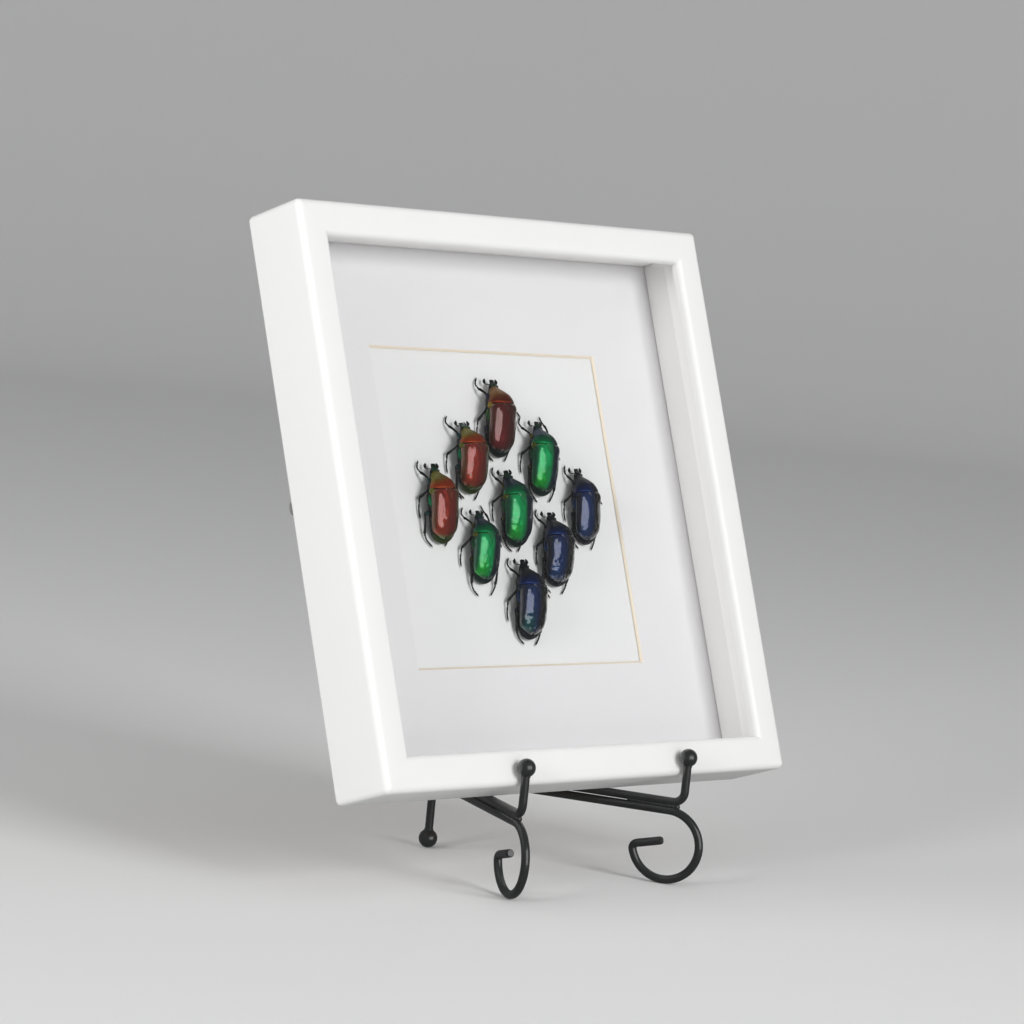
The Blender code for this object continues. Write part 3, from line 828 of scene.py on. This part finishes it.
def case_rise(along):
    return read_line(CASE_RISE, along) * rounded_end(along, CASE_TAIL - 0.4, 9.0, 2.2, 1.7)


def signed_power(value, power):
    """A power of the value's size, with the value's sign."""
    return math.copysign(abs(value) ** power, value)


def section(turn, half_width, rise, drop):
    """A point of the body's section: a flattened arch above the widest line and a fuller one below."""
    across = half_width * signed_power(math.cos(turn), ARCH_POWER)
    return across, (rise if math.sin(turn) > 0 else drop) * math.sin(turn)


# %% [markdown]
# A wing case starts at the middle seam, runs over the back and tucks under at the side. It has a knob at the
# shoulder and one near the tip, a rolled edge and slight waves, which break up its highlight. In front the
# two leave room for the small triangular shield.

# %% Wing cases
CASE_STEPS = 30
CASE_ROWS = 54


def seam_gap(along):
    """Half the space between the wing cases: none along the seam, the shield in front, a notch at the tip."""
    shield = SHIELD_HALF * max((along - SHIELD_TIP) / (SHIELD_FRONT - SHIELD_TIP), 0.0) ** 0.9
    return 0.04 + shield + 0.9 * max((CASE_TAIL + 1.4 - along) / 1.4, 0.0) ** 2


def bump_at(x, y, place_x, place_y, reach_x, reach_y):
    return math.exp(-((x - place_x) / reach_x) ** 2 - ((y - place_y) / reach_y) ** 2)


def add_wing_case(body, side, seed, wrinkle, tint):
    rows = [CASE_TAIL + 0.02 + (CASE_FRONT - CASE_TAIL) * (1 - math.cos(math.pi * t / 2)) ** 1.15
            for t in np.linspace(0, 0.66, CASE_ROWS // 2)]
    rows += list(np.linspace(rows[-1], CASE_FRONT - 0.25, CASE_ROWS // 2)[1:])
    rings = []
    for along in rows + [CASE_FRONT - 0.12, CASE_FRONT]:
        near_front = blend_in(along, CASE_FRONT - 0.45, CASE_FRONT + 0.05)
        half_width = case_half_width(along) - 0.3 * near_front
        rise = case_rise(along) - 0.45 * near_front
        gap = min(seam_gap(along), half_width * 0.96)
        widest = read_line(WIDEST_UP, along)
        start = math.acos(min((gap / max(half_width, 0.01)) ** (1 / ARCH_POWER), 0.999))
        ring = []
        for turn in np.linspace(start, -0.6, CASE_STEPS):
            x, z = section(turn, half_width, rise, 1.7)
            z -= 0.08 * math.exp(-((x - gap) / 0.22) ** 2)
            x += 0.10 * math.exp(-((turn + 0.02) / 0.11) ** 2)
            z += 0.38 * bump_at(x, along, 5.3, 19.5, 1.3, 1.7) + 0.30 * bump_at(x, along, 4.3, 5.2, 1.3, 1.6)
            z -= 0.04 * bump_at(x, along, 2.2, 9.0, 0.8, 5.0) * (1 if turn > 0 else 0)
            wave = noise.noise(Vector((side * x * 0.42, along * 0.2, seed)))
            crease = noise.noise(Vector((side * x * 0.9, along * 0.75, seed + 7)))
            z += max(math.sin(turn), 0) * (0.22 * wave + 1.5 * wrinkle * crease * (1 - blend_in(along, 8, 16)))
            ring.append((side * x, along, widest + z))
        under = min(half_width * 0.8, half_width - 0.05)
        for x, z in ((under, -0.9), (max(half_width * 0.5, gap), -0.4), (gap, -0.3)):
            ring.append((side * x, along, widest + z))
        rings.append(ring)
    add_loft(body, rings, tint)


def add_small_shield(body, tint):
    rings = []
    for along in np.linspace(SHIELD_TIP + 0.1, SHIELD_FRONT, 16):
        half = max(seam_gap(along) - 0.12, 0.03)
        top = read_line(WIDEST_UP, along) + case_rise(along) - 0.02
        ring = []
        for share in np.linspace(-1, 1, 13):
            edge = 0.10 * math.exp(-((abs(share) - 0.86) / 0.12) ** 2)
            drop = 0.16 * max(abs(share) - 0.86, 0) / 0.14
            ring.append((share * half, along, top + edge - drop - 0.012 * (share * half) ** 2))
        ring += [(half * 0.9, along, top - 1.2), (-half * 0.9, along, top - 1.2)]
        rings.append(ring)
    add_loft(body, rings, tint)


# %% [markdown]
# The pronotum is the broad plate before the wing cases, narrow towards the head, with a rolled hind edge. The
# head is a small flat box with an upturned front. Under the back, the body shows at the left side and behind:
# ringed belly plates, side plates and the tail.

# %% Pronotum, head and underside
def add_pronotum(body, seed, tint):
    rings = []
    for along, half_width, rise in smooth_through(PRONOTUM, 46):
        widest = read_line(WIDEST_UP, along)
        front = blend_in(along, 25, 31)
        ring = []
        for turn in np.linspace(0, 2 * math.pi, 44, endpoint=False):
            x, z = section(turn, half_width, rise, 4.0 - 2.0 * front)
            x += 0.08 * math.copysign(math.exp(-(math.sin(turn) / 0.12) ** 2), x)
            wave = noise.noise(Vector((x * 0.35, along * 0.3, seed + 3)))
            z += max(math.sin(turn), 0) * 0.10 * wave
            ring.append((x, along + 0.010 * x * x * (1 - front), widest + z))
        rings.append(ring)
    add_loft(body, rings, tint)


HEAD = (                                        # along, half width, top, bottom
    (29.6, 1.4, 4.4, 2.9), (30.4, 1.65, 4.45, 2.8), (31.3, 1.7, 4.3, 2.8), (32.4, 1.4, 3.95, 2.8),
    (33.2, 1.2, 3.65, 2.8), (33.7, 1.25, 3.6, 2.9), (34.0, 0.9, 3.5, 3.1),
)


def add_head(body, bend, tint, dark):
    """The head with its eyes and feelers; bend lowers the front of it, in millimetres."""
    rings = []
    for along, half_width, top, bottom in smooth_through(HEAD, 18):
        low = bend * blend_in(along, 30.6, 34.0)
        ring = []
        for turn in np.linspace(0, 2 * math.pi, 28, endpoint=False):
            x = half_width * signed_power(math.cos(turn), 0.6)
            z = (top + bottom) / 2 + (top - bottom) / 2 * signed_power(math.sin(turn), 0.75)
            dish = 0.22 * blend_in(along, 31.8, 33.0) * (1 - blend_in(along, 33.3, 33.9))
            if math.sin(turn) > 0:
                z -= dish * max(1 - (x / half_width / 0.75) ** 2, 0)
            ring.append((x, along - 0.25 * low, z - low))
        rings.append(ring)
    add_loft(body, rings, tint)
    for side in (-1, 1):
        eye = [(side * 1.6, 30.75, 3.6, 0.1), (side * 1.75, 30.75, 3.6, 0.5), (side * 2.0, 30.75, 3.6, 0.72),
               (side * 2.3, 30.75, 3.6, 0.62), (side * 2.5, 30.75, 3.6, 0.3), (side * 2.55, 30.75, 3.6, 0.05)]
        add_tube(body, eye, 12, dark)
        stalk = [(side * 1.2, 31.7, 3.1 - bend / 2, 0.24), (side * 2.2, 31.9, 2.8, 0.2),
                 (side * 3.0, 31.9, 2.4, 0.2), (side * 3.4, 32.3, 2.2, 0.22)]
        add_tube(body, smooth_through(stalk, 9), 8, dark)
        for spread, reach in ((-0.22, 2.3), (0, 2.5), (0.22, 2.2)):
            leaf = [(side * 3.35, 32.1, 2.2, 0.14), (side * (3.55 + spread), 32.8, 2.1, 0.3),
                    (side * (3.5 + 1.4 * spread), 33.6, 2.0, 0.3),
                    (side * (3.2 + spread), 32.1 + reach, 2.0, 0.1)]
            add_tube(body, smooth_through(leaf, 8), 8, dark, 1.6)


BELLY_RINGS = (2.7, 4.7, 6.7, 8.7, 10.8, 13.2, 17.2)


def add_underside(body, tint):
    rings = []
    for along in [0.02, 0.06, 0.15] + list(np.linspace(0.3, 30.5, 96)):
        tail = rounded_end(along, 0, 7.5, 2.3, 2.0)
        front = blend_in(along, 24, 30.5)
        half_width = (read_line(CASE_WIDTH, along) - 0.45) * tail * (1 - 0.68 * front)
        rise = 1.9 * tail * (1 - 0.5 * front)
        groove = sum(math.exp(-((along - ring) / 0.17) ** 2) for ring in BELLY_RINGS)
        widest = read_line(WIDEST_UP, along) - 0.25
        drop = (widest - 0.35 - 0.05 * along) * rounded_end(along, -0.3, 3, 2.0, 1.6)
        ring = []
        for turn in np.linspace(0, 2 * math.pi, 36, endpoint=False):
            x, z = section(turn, half_width, rise, drop)
            if z < 0:
                x = half_width * signed_power(math.cos(turn), 0.45)
                z = -drop * abs(math.sin(turn)) ** 0.7
            shrink = 1 - 0.045 * groove * (1 if math.sin(turn) < 0.25 else 0.3)
            ring.append((x * shrink, along, widest + z * shrink))
        rings.append(ring)
    add_loft(body, rings, tint)


def add_side_plates(body, shoulder, flank):
    """The two plates that show beside each shoulder."""
    plates = ((6.55, 21.4, 6.75, 1.25, 1.45, shoulder), (6.5, 17.6, 5.2, 1.3, 2.7, flank))
    for side in (-1, 1):
        for x, y, z, wide, long, tint in plates:
            path = [(side * x, y + long * math.cos(turn), z, wide * math.sin(turn) + 0.02)
                    for turn in np.linspace(math.pi, 0, 13)]
            add_tube(body, path, 14, tint)


# %% [markdown]
# A leg is a spindle-shaped thigh, a shin that widens to its spurs, five foot joints that look like a string of
# beads and a pair of claws. The front shins carry teeth on their outer edge. All six are drawn from the same
# function; only the points where they bend differ.

# %% Legs
LEGS = {                                        # hip, knee, ankle, foot and tip, each across, along and up
    "fore left": ((-3, 24.5, 4.2), (-5.2, 27.6, 4.0), (-6.7, 30.6, 1.9), (-7.4, 32.5, 1.1), (-6.0, 35.5, 0.6)),
    "fore right": ((3, 24.5, 4.2), (4.9, 27.8, 3.6), (4.4, 30.2, 1.7), (3.9, 31.8, 1.0), (3.2, 34.0, 0.6)),
    "mid left": ((-3, 18.5, 3.6), (-6.2, 22.0, 4.2), (-10.1, 18.3, 1.6), (-10.8, 13.8, 0.9), (-10.6, 10.0, 0.6)),
    "mid right": ((3, 18.5, 3.6), (9.0, 22.2, 4.2), (13.4, 21.9, 1.6), (15.8, 20.5, 0.9), (17.6, 18.8, 0.6)),
    "hind left": ((-3.4, 13, 2.8), (-8.0, 12.2, 3.0), (-7.5, 3.6, 1.3), (-6.7, 1.2, 0.9), (-3.8, -1.7, 0.6)),
    "hind right": ((3.4, 13, 2.8), (7.8, 9.8, 3.0), (6.4, 3.0, 1.3), (5.8, 1.0, 0.9), (3.8, -2.0, 0.6)),
}


def add_leg(body, name, bends, shift, thigh_tint, shin_tint, foot_tint):
    """One leg; shift (across, along) moves its foot, and its knee half as far."""
    hip, knee, ankle, foot, tip = (
        Vector(bend) + Vector((*shift, 0)) * share for bend, share in zip(bends, (0, 0.5, 1, 1, 1)))
    thick = 1.2 if "hind" in name else 1.0
    thigh = [(*hip.lerp(knee, t), thick * r)
             for t, r in ((0, 0.7), (0.3, 1.0), (0.65, 0.95), (0.9, 0.62), (1.03, 0.3))]
    add_tube(body, smooth_through(thigh, 14), 12, thigh_tint, 0.8)
    bow = Vector((0, 0, 0.25))
    shin = [(*(knee.lerp(ankle, t) + bow * math.sin(math.pi * t)), r)
            for t, r in ((-0.06, 0.3), (0.05, 0.46), (0.35, 0.5), (0.7, 0.58), (0.96, 0.7), (1.02, 0.4))]
    add_tube(body, smooth_through(shin, 18), 10, shin_tint, 0.75)
    along = (ankle - knee).normalized()
    outward = along.cross(Vector((0, 0, 1))).normalized() * (1 if hip.x > 0 else -1)
    teeth = (0.45, 0.72, 0.95) if "fore" in name else (0.62,)
    for place in teeth:
        root = knee.lerp(ankle, place) + bow * math.sin(math.pi * place)
        spike = [(*(root + outward * 0.1), 0.3), (*(root + outward * 0.75 + along * 0.25), 0.05)]
        add_tube(body, spike, 7, shin_tint)
    if "fore" not in name:
        for spread in (-0.35, 0.35):
            spur = [(*ankle, 0.22), (*(ankle + along * 1.5 + outward * spread * 1.6), 0.04)]
            add_tube(body, spur, 7, shin_tint)
    route = smooth_through([ankle, foot, foot.lerp(tip, 0.5) + (foot - ankle) * 0.12, tip], 61)
    marks = (0, 11, 21, 31, 41, 60)
    for joint in range(5):
        bead = route[marks[joint]:marks[joint + 1] + 1]
        count = len(bead) - 1
        path = [(*place, 0.15 + 0.22 * math.sin(math.pi * (0.25 + 0.6 * index / count)))
                for index, place in enumerate(bead)][::2]
        add_tube(body, path, 8, foot_tint)
    heading = (Vector(route[-1]) - Vector(route[-4])).normalized()
    beside = heading.cross(Vector((0, 0, 1))).normalized()
    for spread in (-1, 1):
        claw = [(*tip, 0.12), (*(tip + heading * 0.35 + beside * spread * 0.3), 0.09),
                (*(tip + heading * 0.75 + beside * spread * 0.35 - Vector((0, 0, 0.15))), 0.03)]
        add_tube(body, claw, 6, foot_tint)


# %% [markdown]
# A wing case looks like enamel over metal: a coloured metallic layer with a smooth clear coat. The colour comes
# from the point colours, and noise adds fine pits and a long-waved relief, so that highlights have the crinkled
# edges of real wing cases. The fourth number of a point's colour is its roughness, and the rougher places,
# such as the pronotum and the legs, get less of the clear coat.

# %% Beetle enamel
GLOSSY, SATIN, DULL = 0.40, 0.48, 0.58


def make_enamel():
    look, tree, shader = new_look("beetle enamel")
    painted = add_node(tree, "ShaderNodeAttribute", attribute_name="Tint")
    group = add_node(tree, "ShaderNodeGroup", node_tree=mottle, inputs={
        "Tone A": (1, 1, 1, 1), "Tone B": (0.62, 0.62, 0.62, 1), "Patch Scale": 260, "Grain Scale": 2400})
    shaded = add_node(tree, "ShaderNodeMix", data_type="RGBA", blend_type="MULTIPLY", inputs={
        "Factor": 0.6, 6: painted.outputs["Color"], 7: group.outputs["Colour"]})
    polish = add_node(tree, "ShaderNodeMapRange", {
        "Value": painted.outputs["Alpha"], "From Min": GLOSSY, "From Max": SATIN, "To Min": 1.0, "To Max": 0.06})
    where = add_node(tree, "ShaderNodeTexCoord")
    wave = add_node(tree, "ShaderNodeTexNoise", {"Vector": where.outputs["Object"], "Scale": 380, "Detail": 2})
    total = add_node(tree, "ShaderNodeMath", operation="MULTIPLY_ADD", inputs={
        0: group.outputs["Grain"], 1: 0.12, 2: wave.outputs["Fac"]})
    bump = add_node(tree, "ShaderNodeBump", {"Height": total.outputs[0], "Strength": 1.0, "Distance": 0.00038})
    set_inputs(shader, {
        "Base Color": shaded.outputs[2], "Roughness": painted.outputs["Alpha"], "Metallic": 0.75,
        "Coat Weight": polish.outputs["Result"], "Coat Roughness": 0.05, "Coat IOR": 1.8,
        "Normal": bump.outputs["Normal"]})
    return look


enamel = make_enamel()

# %% [markdown]
# Each specimen has its own place, length and turn, and a palette for the places on its body. The outer sides of the
# wing cases darken and change hue, as on the real insects. Light and shade are painted in as well: the right half of
# each beetle is darker and turned to the side colour as painted shade, the rear of the left wing case gets a brighter
# painted reflection, and the left of the pronotum's hind edge a painted highlight.

# %% Palettes
BLACK = (0.012, 0.012, 0.014)
# In each palette the side colour also serves as the painted shade of the right half, and the tints for the rear of the
# left wing case and for the left of the pronotum's hind edge are painted reflection and painted highlight.
PALETTES = {
    "maroon": dict(head=(0.03, 0.07, 0.035), neck=(0.22, 0.10, 0.02), plate=(0.16, 0.022, 0.008),
                   hem=(0.5, 0.06, 0.01), shoulder=(0.28, 0.20, 0.02), flank=(0.03, 0.09, 0.02), back=(0.15, 0.008, 0.006),
                   edge=(0.09, 0.028, 0.014), rim=(0.012, 0.035, 0.02), thigh=(0.03, 0.02, 0.06), right_shade_from=3.6,
                   rear_sheen=(0.22, 0.01, 0.012)),
    "red": dict(head=(0.02, 0.10, 0.055), neck=(0.17, 0.15, 0.01), plate=(0.38, 0.045, 0.008),
                hem=(0.55, 0.09, 0.015), shoulder=(0.15, 0.17, 0.02), flank=(0.0, 0.17, 0.06), back=(0.33, 0.024, 0.01),
                edge=(0.10, 0.055, 0.012), rim=(0.07, 0.13, 0.012), thigh=(0.012, 0.06, 0.06), right_shade_from=3.4,
                rear_sheen=(0.46, 0.045, 0.012)),
    "green": dict(head=(0.008, 0.06, 0.03), neck=(0.01, 0.03, 0.06), plate=(0.0, 0.18, 0.06),
                  hem=(0.0, 0.42, 0.12), shoulder=(0.10, 0.12, 0.015), flank=(0.01, 0.08, 0.03),
                  back=(0.0, 0.48, 0.13), gloss=0.43, edge=(0.008, 0.022, 0.04), rim=(0.004, 0.05, 0.035), thigh=(0.08, 0.075, 0.012), right_shade_from=0.9,
                  rear_sheen=(0.01, 0.52, 0.05)),
    "blue": dict(head=(0.012, 0.012, 0.02), neck=(0.012, 0.014, 0.022), plate=(0.006, 0.02, 0.10),
                 hem=(0.02, 0.06, 0.28), shoulder=(0.012, 0.02, 0.05), flank=(0.008, 0.03, 0.09), back=(0.006, 0.03, 0.14),
                 edge=(0.018, 0.017, 0.014), rim=(0.008, 0.014, 0.03), thigh=(0.012, 0.014, 0.03), right_shade_from=0.6,
                 rear_sheen=(0.005, 0.05, 0.19)),
}
PALETTES["blue green"] = dict(PALETTES["blue"], rear_sheen=(0.004, 0.10, 0.11))


def painters(palette):
    """Colour functions of place for the parts of one beetle; the fourth number is the roughness."""
    def case(x, y, z):
        # Painted shade: from a set distance right of the seam the wing case takes the dark side colour; only the outer
        # left margin has that colour as its own.
        right = blend_in(x, palette["right_shade_from"] - 1.2, palette["right_shade_from"] + 1.2)
        left = 0.8 * blend_in(-x, 5.2, 6.9)
        # Painted reflection: a brighter tint over the rear of the left wing case.
        tint = mix_tints(palette["back"], palette["rear_sheen"], (1 - blend_in(y, 5, 13)) * blend_in(-x, -0.5, 3))
        # Painted shade: the right half darkens towards black.
        tint = mix_tints(tint, BLACK, 0.35 * blend_in(x, -0.5, 1.5))
        tint = mix_tints(tint, palette["edge"], max(right, left))
        tint = mix_tints(tint, palette["rim"], 1 - blend_in(y - 0.18 * abs(x), 1.6, 3.6))
        return (*tint, palette.get("gloss", GLOSSY))

    def plate(x, y, z):
        tint = mix_tints(palette["plate"], palette["neck"], blend_in(y - 0.25 * x, 24.2, 28.2))
        # Painted highlight: a bright band along the left of the pronotum's hind edge.
        tint = mix_tints(tint, palette["hem"], (1 - blend_in(y, 22.4, 23.1)) * (1 - blend_in(x, -1, 4)))
        # Painted shade: the right side of the pronotum takes the dark side colour.
        tint = mix_tints(tint, palette["edge"], 0.85 * blend_in(x, palette["right_shade_from"] - 1.8, palette["right_shade_from"] + 1.6))
        return (*tint, SATIN)

    def head(x, y, z):
        return (*mix_tints(palette["head"], BLACK, 0.8 * blend_in(y, 31.4, 33.0)), SATIN)

    def shield(x, y, z):
        # Partly the shield's own darker tone, and painted shade that deepens towards its right.
        return (*mix_tints(palette["back"], palette["edge"], 0.25 + 0.5 * blend_in(x, -0.5, 2)), GLOSSY)

    def underside(x, y, z):
        tail = 1 - blend_in(y, 1.5, 6)
        return (*mix_tints(BLACK, palette["rim"], 0.5 * tail), SATIN)

    def plain(name, roughness=SATIN):
        return lambda x, y, z: (*(palette[name] if name in palette else BLACK), roughness)

    return case, plate, shield, head, underside, plain


# %% [markdown]
# Now the nine are put together, painted and set on the card, and the imported nodes that they replace are hidden.

# %% Specimens
BEETLES = (             # name, across, up, length, turn, girth, palette, slot, head bend and depth of the creases
    ("beetle_maroon_top", -1.5, 164.5, 34.8, -1.8, 1.03, "maroon", "shell_maroon", 0.3, 0.06),
    ("beetle_red_upper_left", -23.0, 146.6, 31.9, -0.5, 1.15, "red", "shell_red", 1.6, 0.08),
    ("beetle_green_upper_right", 22.0, 146.8, 33.6, -4.7, 1.06, "green", "shell_green", 0.2, 0.20),
    ("beetle_red_left", -45.5, 126.0, 34.7, 0.6, 1.03, "red", "shell_red", 0.0, 0.10),
    ("beetle_green_centre", -0.6, 124.1, 34.0, 2.2, 1.10, "green", "shell_green", 0.3, 0.16),
    ("beetle_blue_right", 44.6, 125.4, 34.4, 0.3, 1.00, "blue", "shell_blue", 0.4, 0.18),
    ("beetle_green_lower_left", -23.5, 107.0, 32.1, -3.7, 1.08, "green", "shell_green", 0.3, 0.22),
    ("beetle_blue_lower_right", 21.8, 105.9, 33.1, -1.5, 1.14, "blue", "shell_blue", 0.3, 0.22),
    ("beetle_blue_bottom", -0.4, 83.7, 35.2, -2.0, 1.05, "blue green", "shell_blue", 0.2, 0.18),
)
STILL = (0, 0)
LEG_SHIFTS = {                                  # how far each foot is set from the drawn one, in LEGS' order
    "beetle_maroon_top": ((-0.5, -0.8), STILL, (0.3, -2.3), (-1, 0.5), (0.5, 0.5), (0, 1)),
    "beetle_red_upper_left": ((-0.7, 1.2), STILL, (-0.3, 0.3), (-2.6, -1.9), STILL, (-1.4, -0.4)),
    "beetle_green_upper_right": ((-1.2, 0), (1.6, 2.9), (0.8, 0.2), (-3, 0), (0.9, 0.6), (1.8, 0.3)),
    "beetle_red_left": ((0.2, 0), STILL, (1, 1.6), (-1.6, 0.8), (-1.7, 1), (-1.4, 1.5)),
    "beetle_green_centre": ((1.4, 0.2), STILL, (1, 2.2), (-0.4, 1.2), (1.2, 0.3), (-2.6, 0.4)),
    "beetle_blue_right": ((1.7, 0), STILL, (0.8, 1.1), (-2, 0), (0.8, 3.2), (0.2, 0.2)),
    "beetle_green_lower_left": ((-0.6, -0.3), (1.6, 2.9), (-0.4, -2), (-3, 0), (0.9, -3.6), (1.2, -2.6)),
    "beetle_blue_lower_right": ((1.2, 0), STILL, (2, 0.4), (-1.3, -0.2), (0.4, -0.6), (-0.4, -0.8)),
    "beetle_blue_bottom": ((0.7, -0.7), STILL, (0.5, -1.7), (-2, 0), (0.8, 0.2), (0.2, 0.2)),
}


def make_beetle(name, across, up, length, turn, girth, palette, slot, bend, wrinkle, seed):
    body = {"points": [], "faces": [], "tints": []}
    case, plate, shield, head, underside, plain = painters(PALETTES[palette])
    add_underside(body, underside)
    add_side_plates(body, plain("shoulder"), plain("flank"))
    for side in (-1, 1):
        add_wing_case(body, side, seed, wrinkle, case)
    add_small_shield(body, shield)
    add_pronotum(body, seed, plate)
    add_head(body, bend, head, plain("dark"))
    for (leg, bends), shift in zip(LEGS.items(), LEG_SHIFTS[name]):
        add_leg(body, leg, bends, shift, plain("thigh"), plain("dark"), plain("dark", DULL))
    scale = length / DRAWN_LENGTH
    place = (LEANING @ Matrix.Translation((across, CARD_FRONT - 0.3, up))
             @ Matrix.Rotation(-math.radians(turn), 4, "Y") @ Matrix.Rotation(math.pi / 2, 4, "X")
             @ Matrix.Diagonal((scale * girth, scale, scale * girth, 1))
             @ Matrix.Translation((0, -DRAWN_LENGTH / 2, 0)))
    mesh = mesh_from(name, body["points"], body["faces"], place)
    tints = mesh.color_attributes.new("Tint", "FLOAT_COLOR", "POINT")
    tints.data.foreach_set("color", np.array(body["tints"], np.float32).ravel())
    finish_piece(name + "_specimen", mesh, enamel, (name,), 50)


for seed, row in enumerate(BEETLES):
    make_beetle(*row, seed * 3.7)
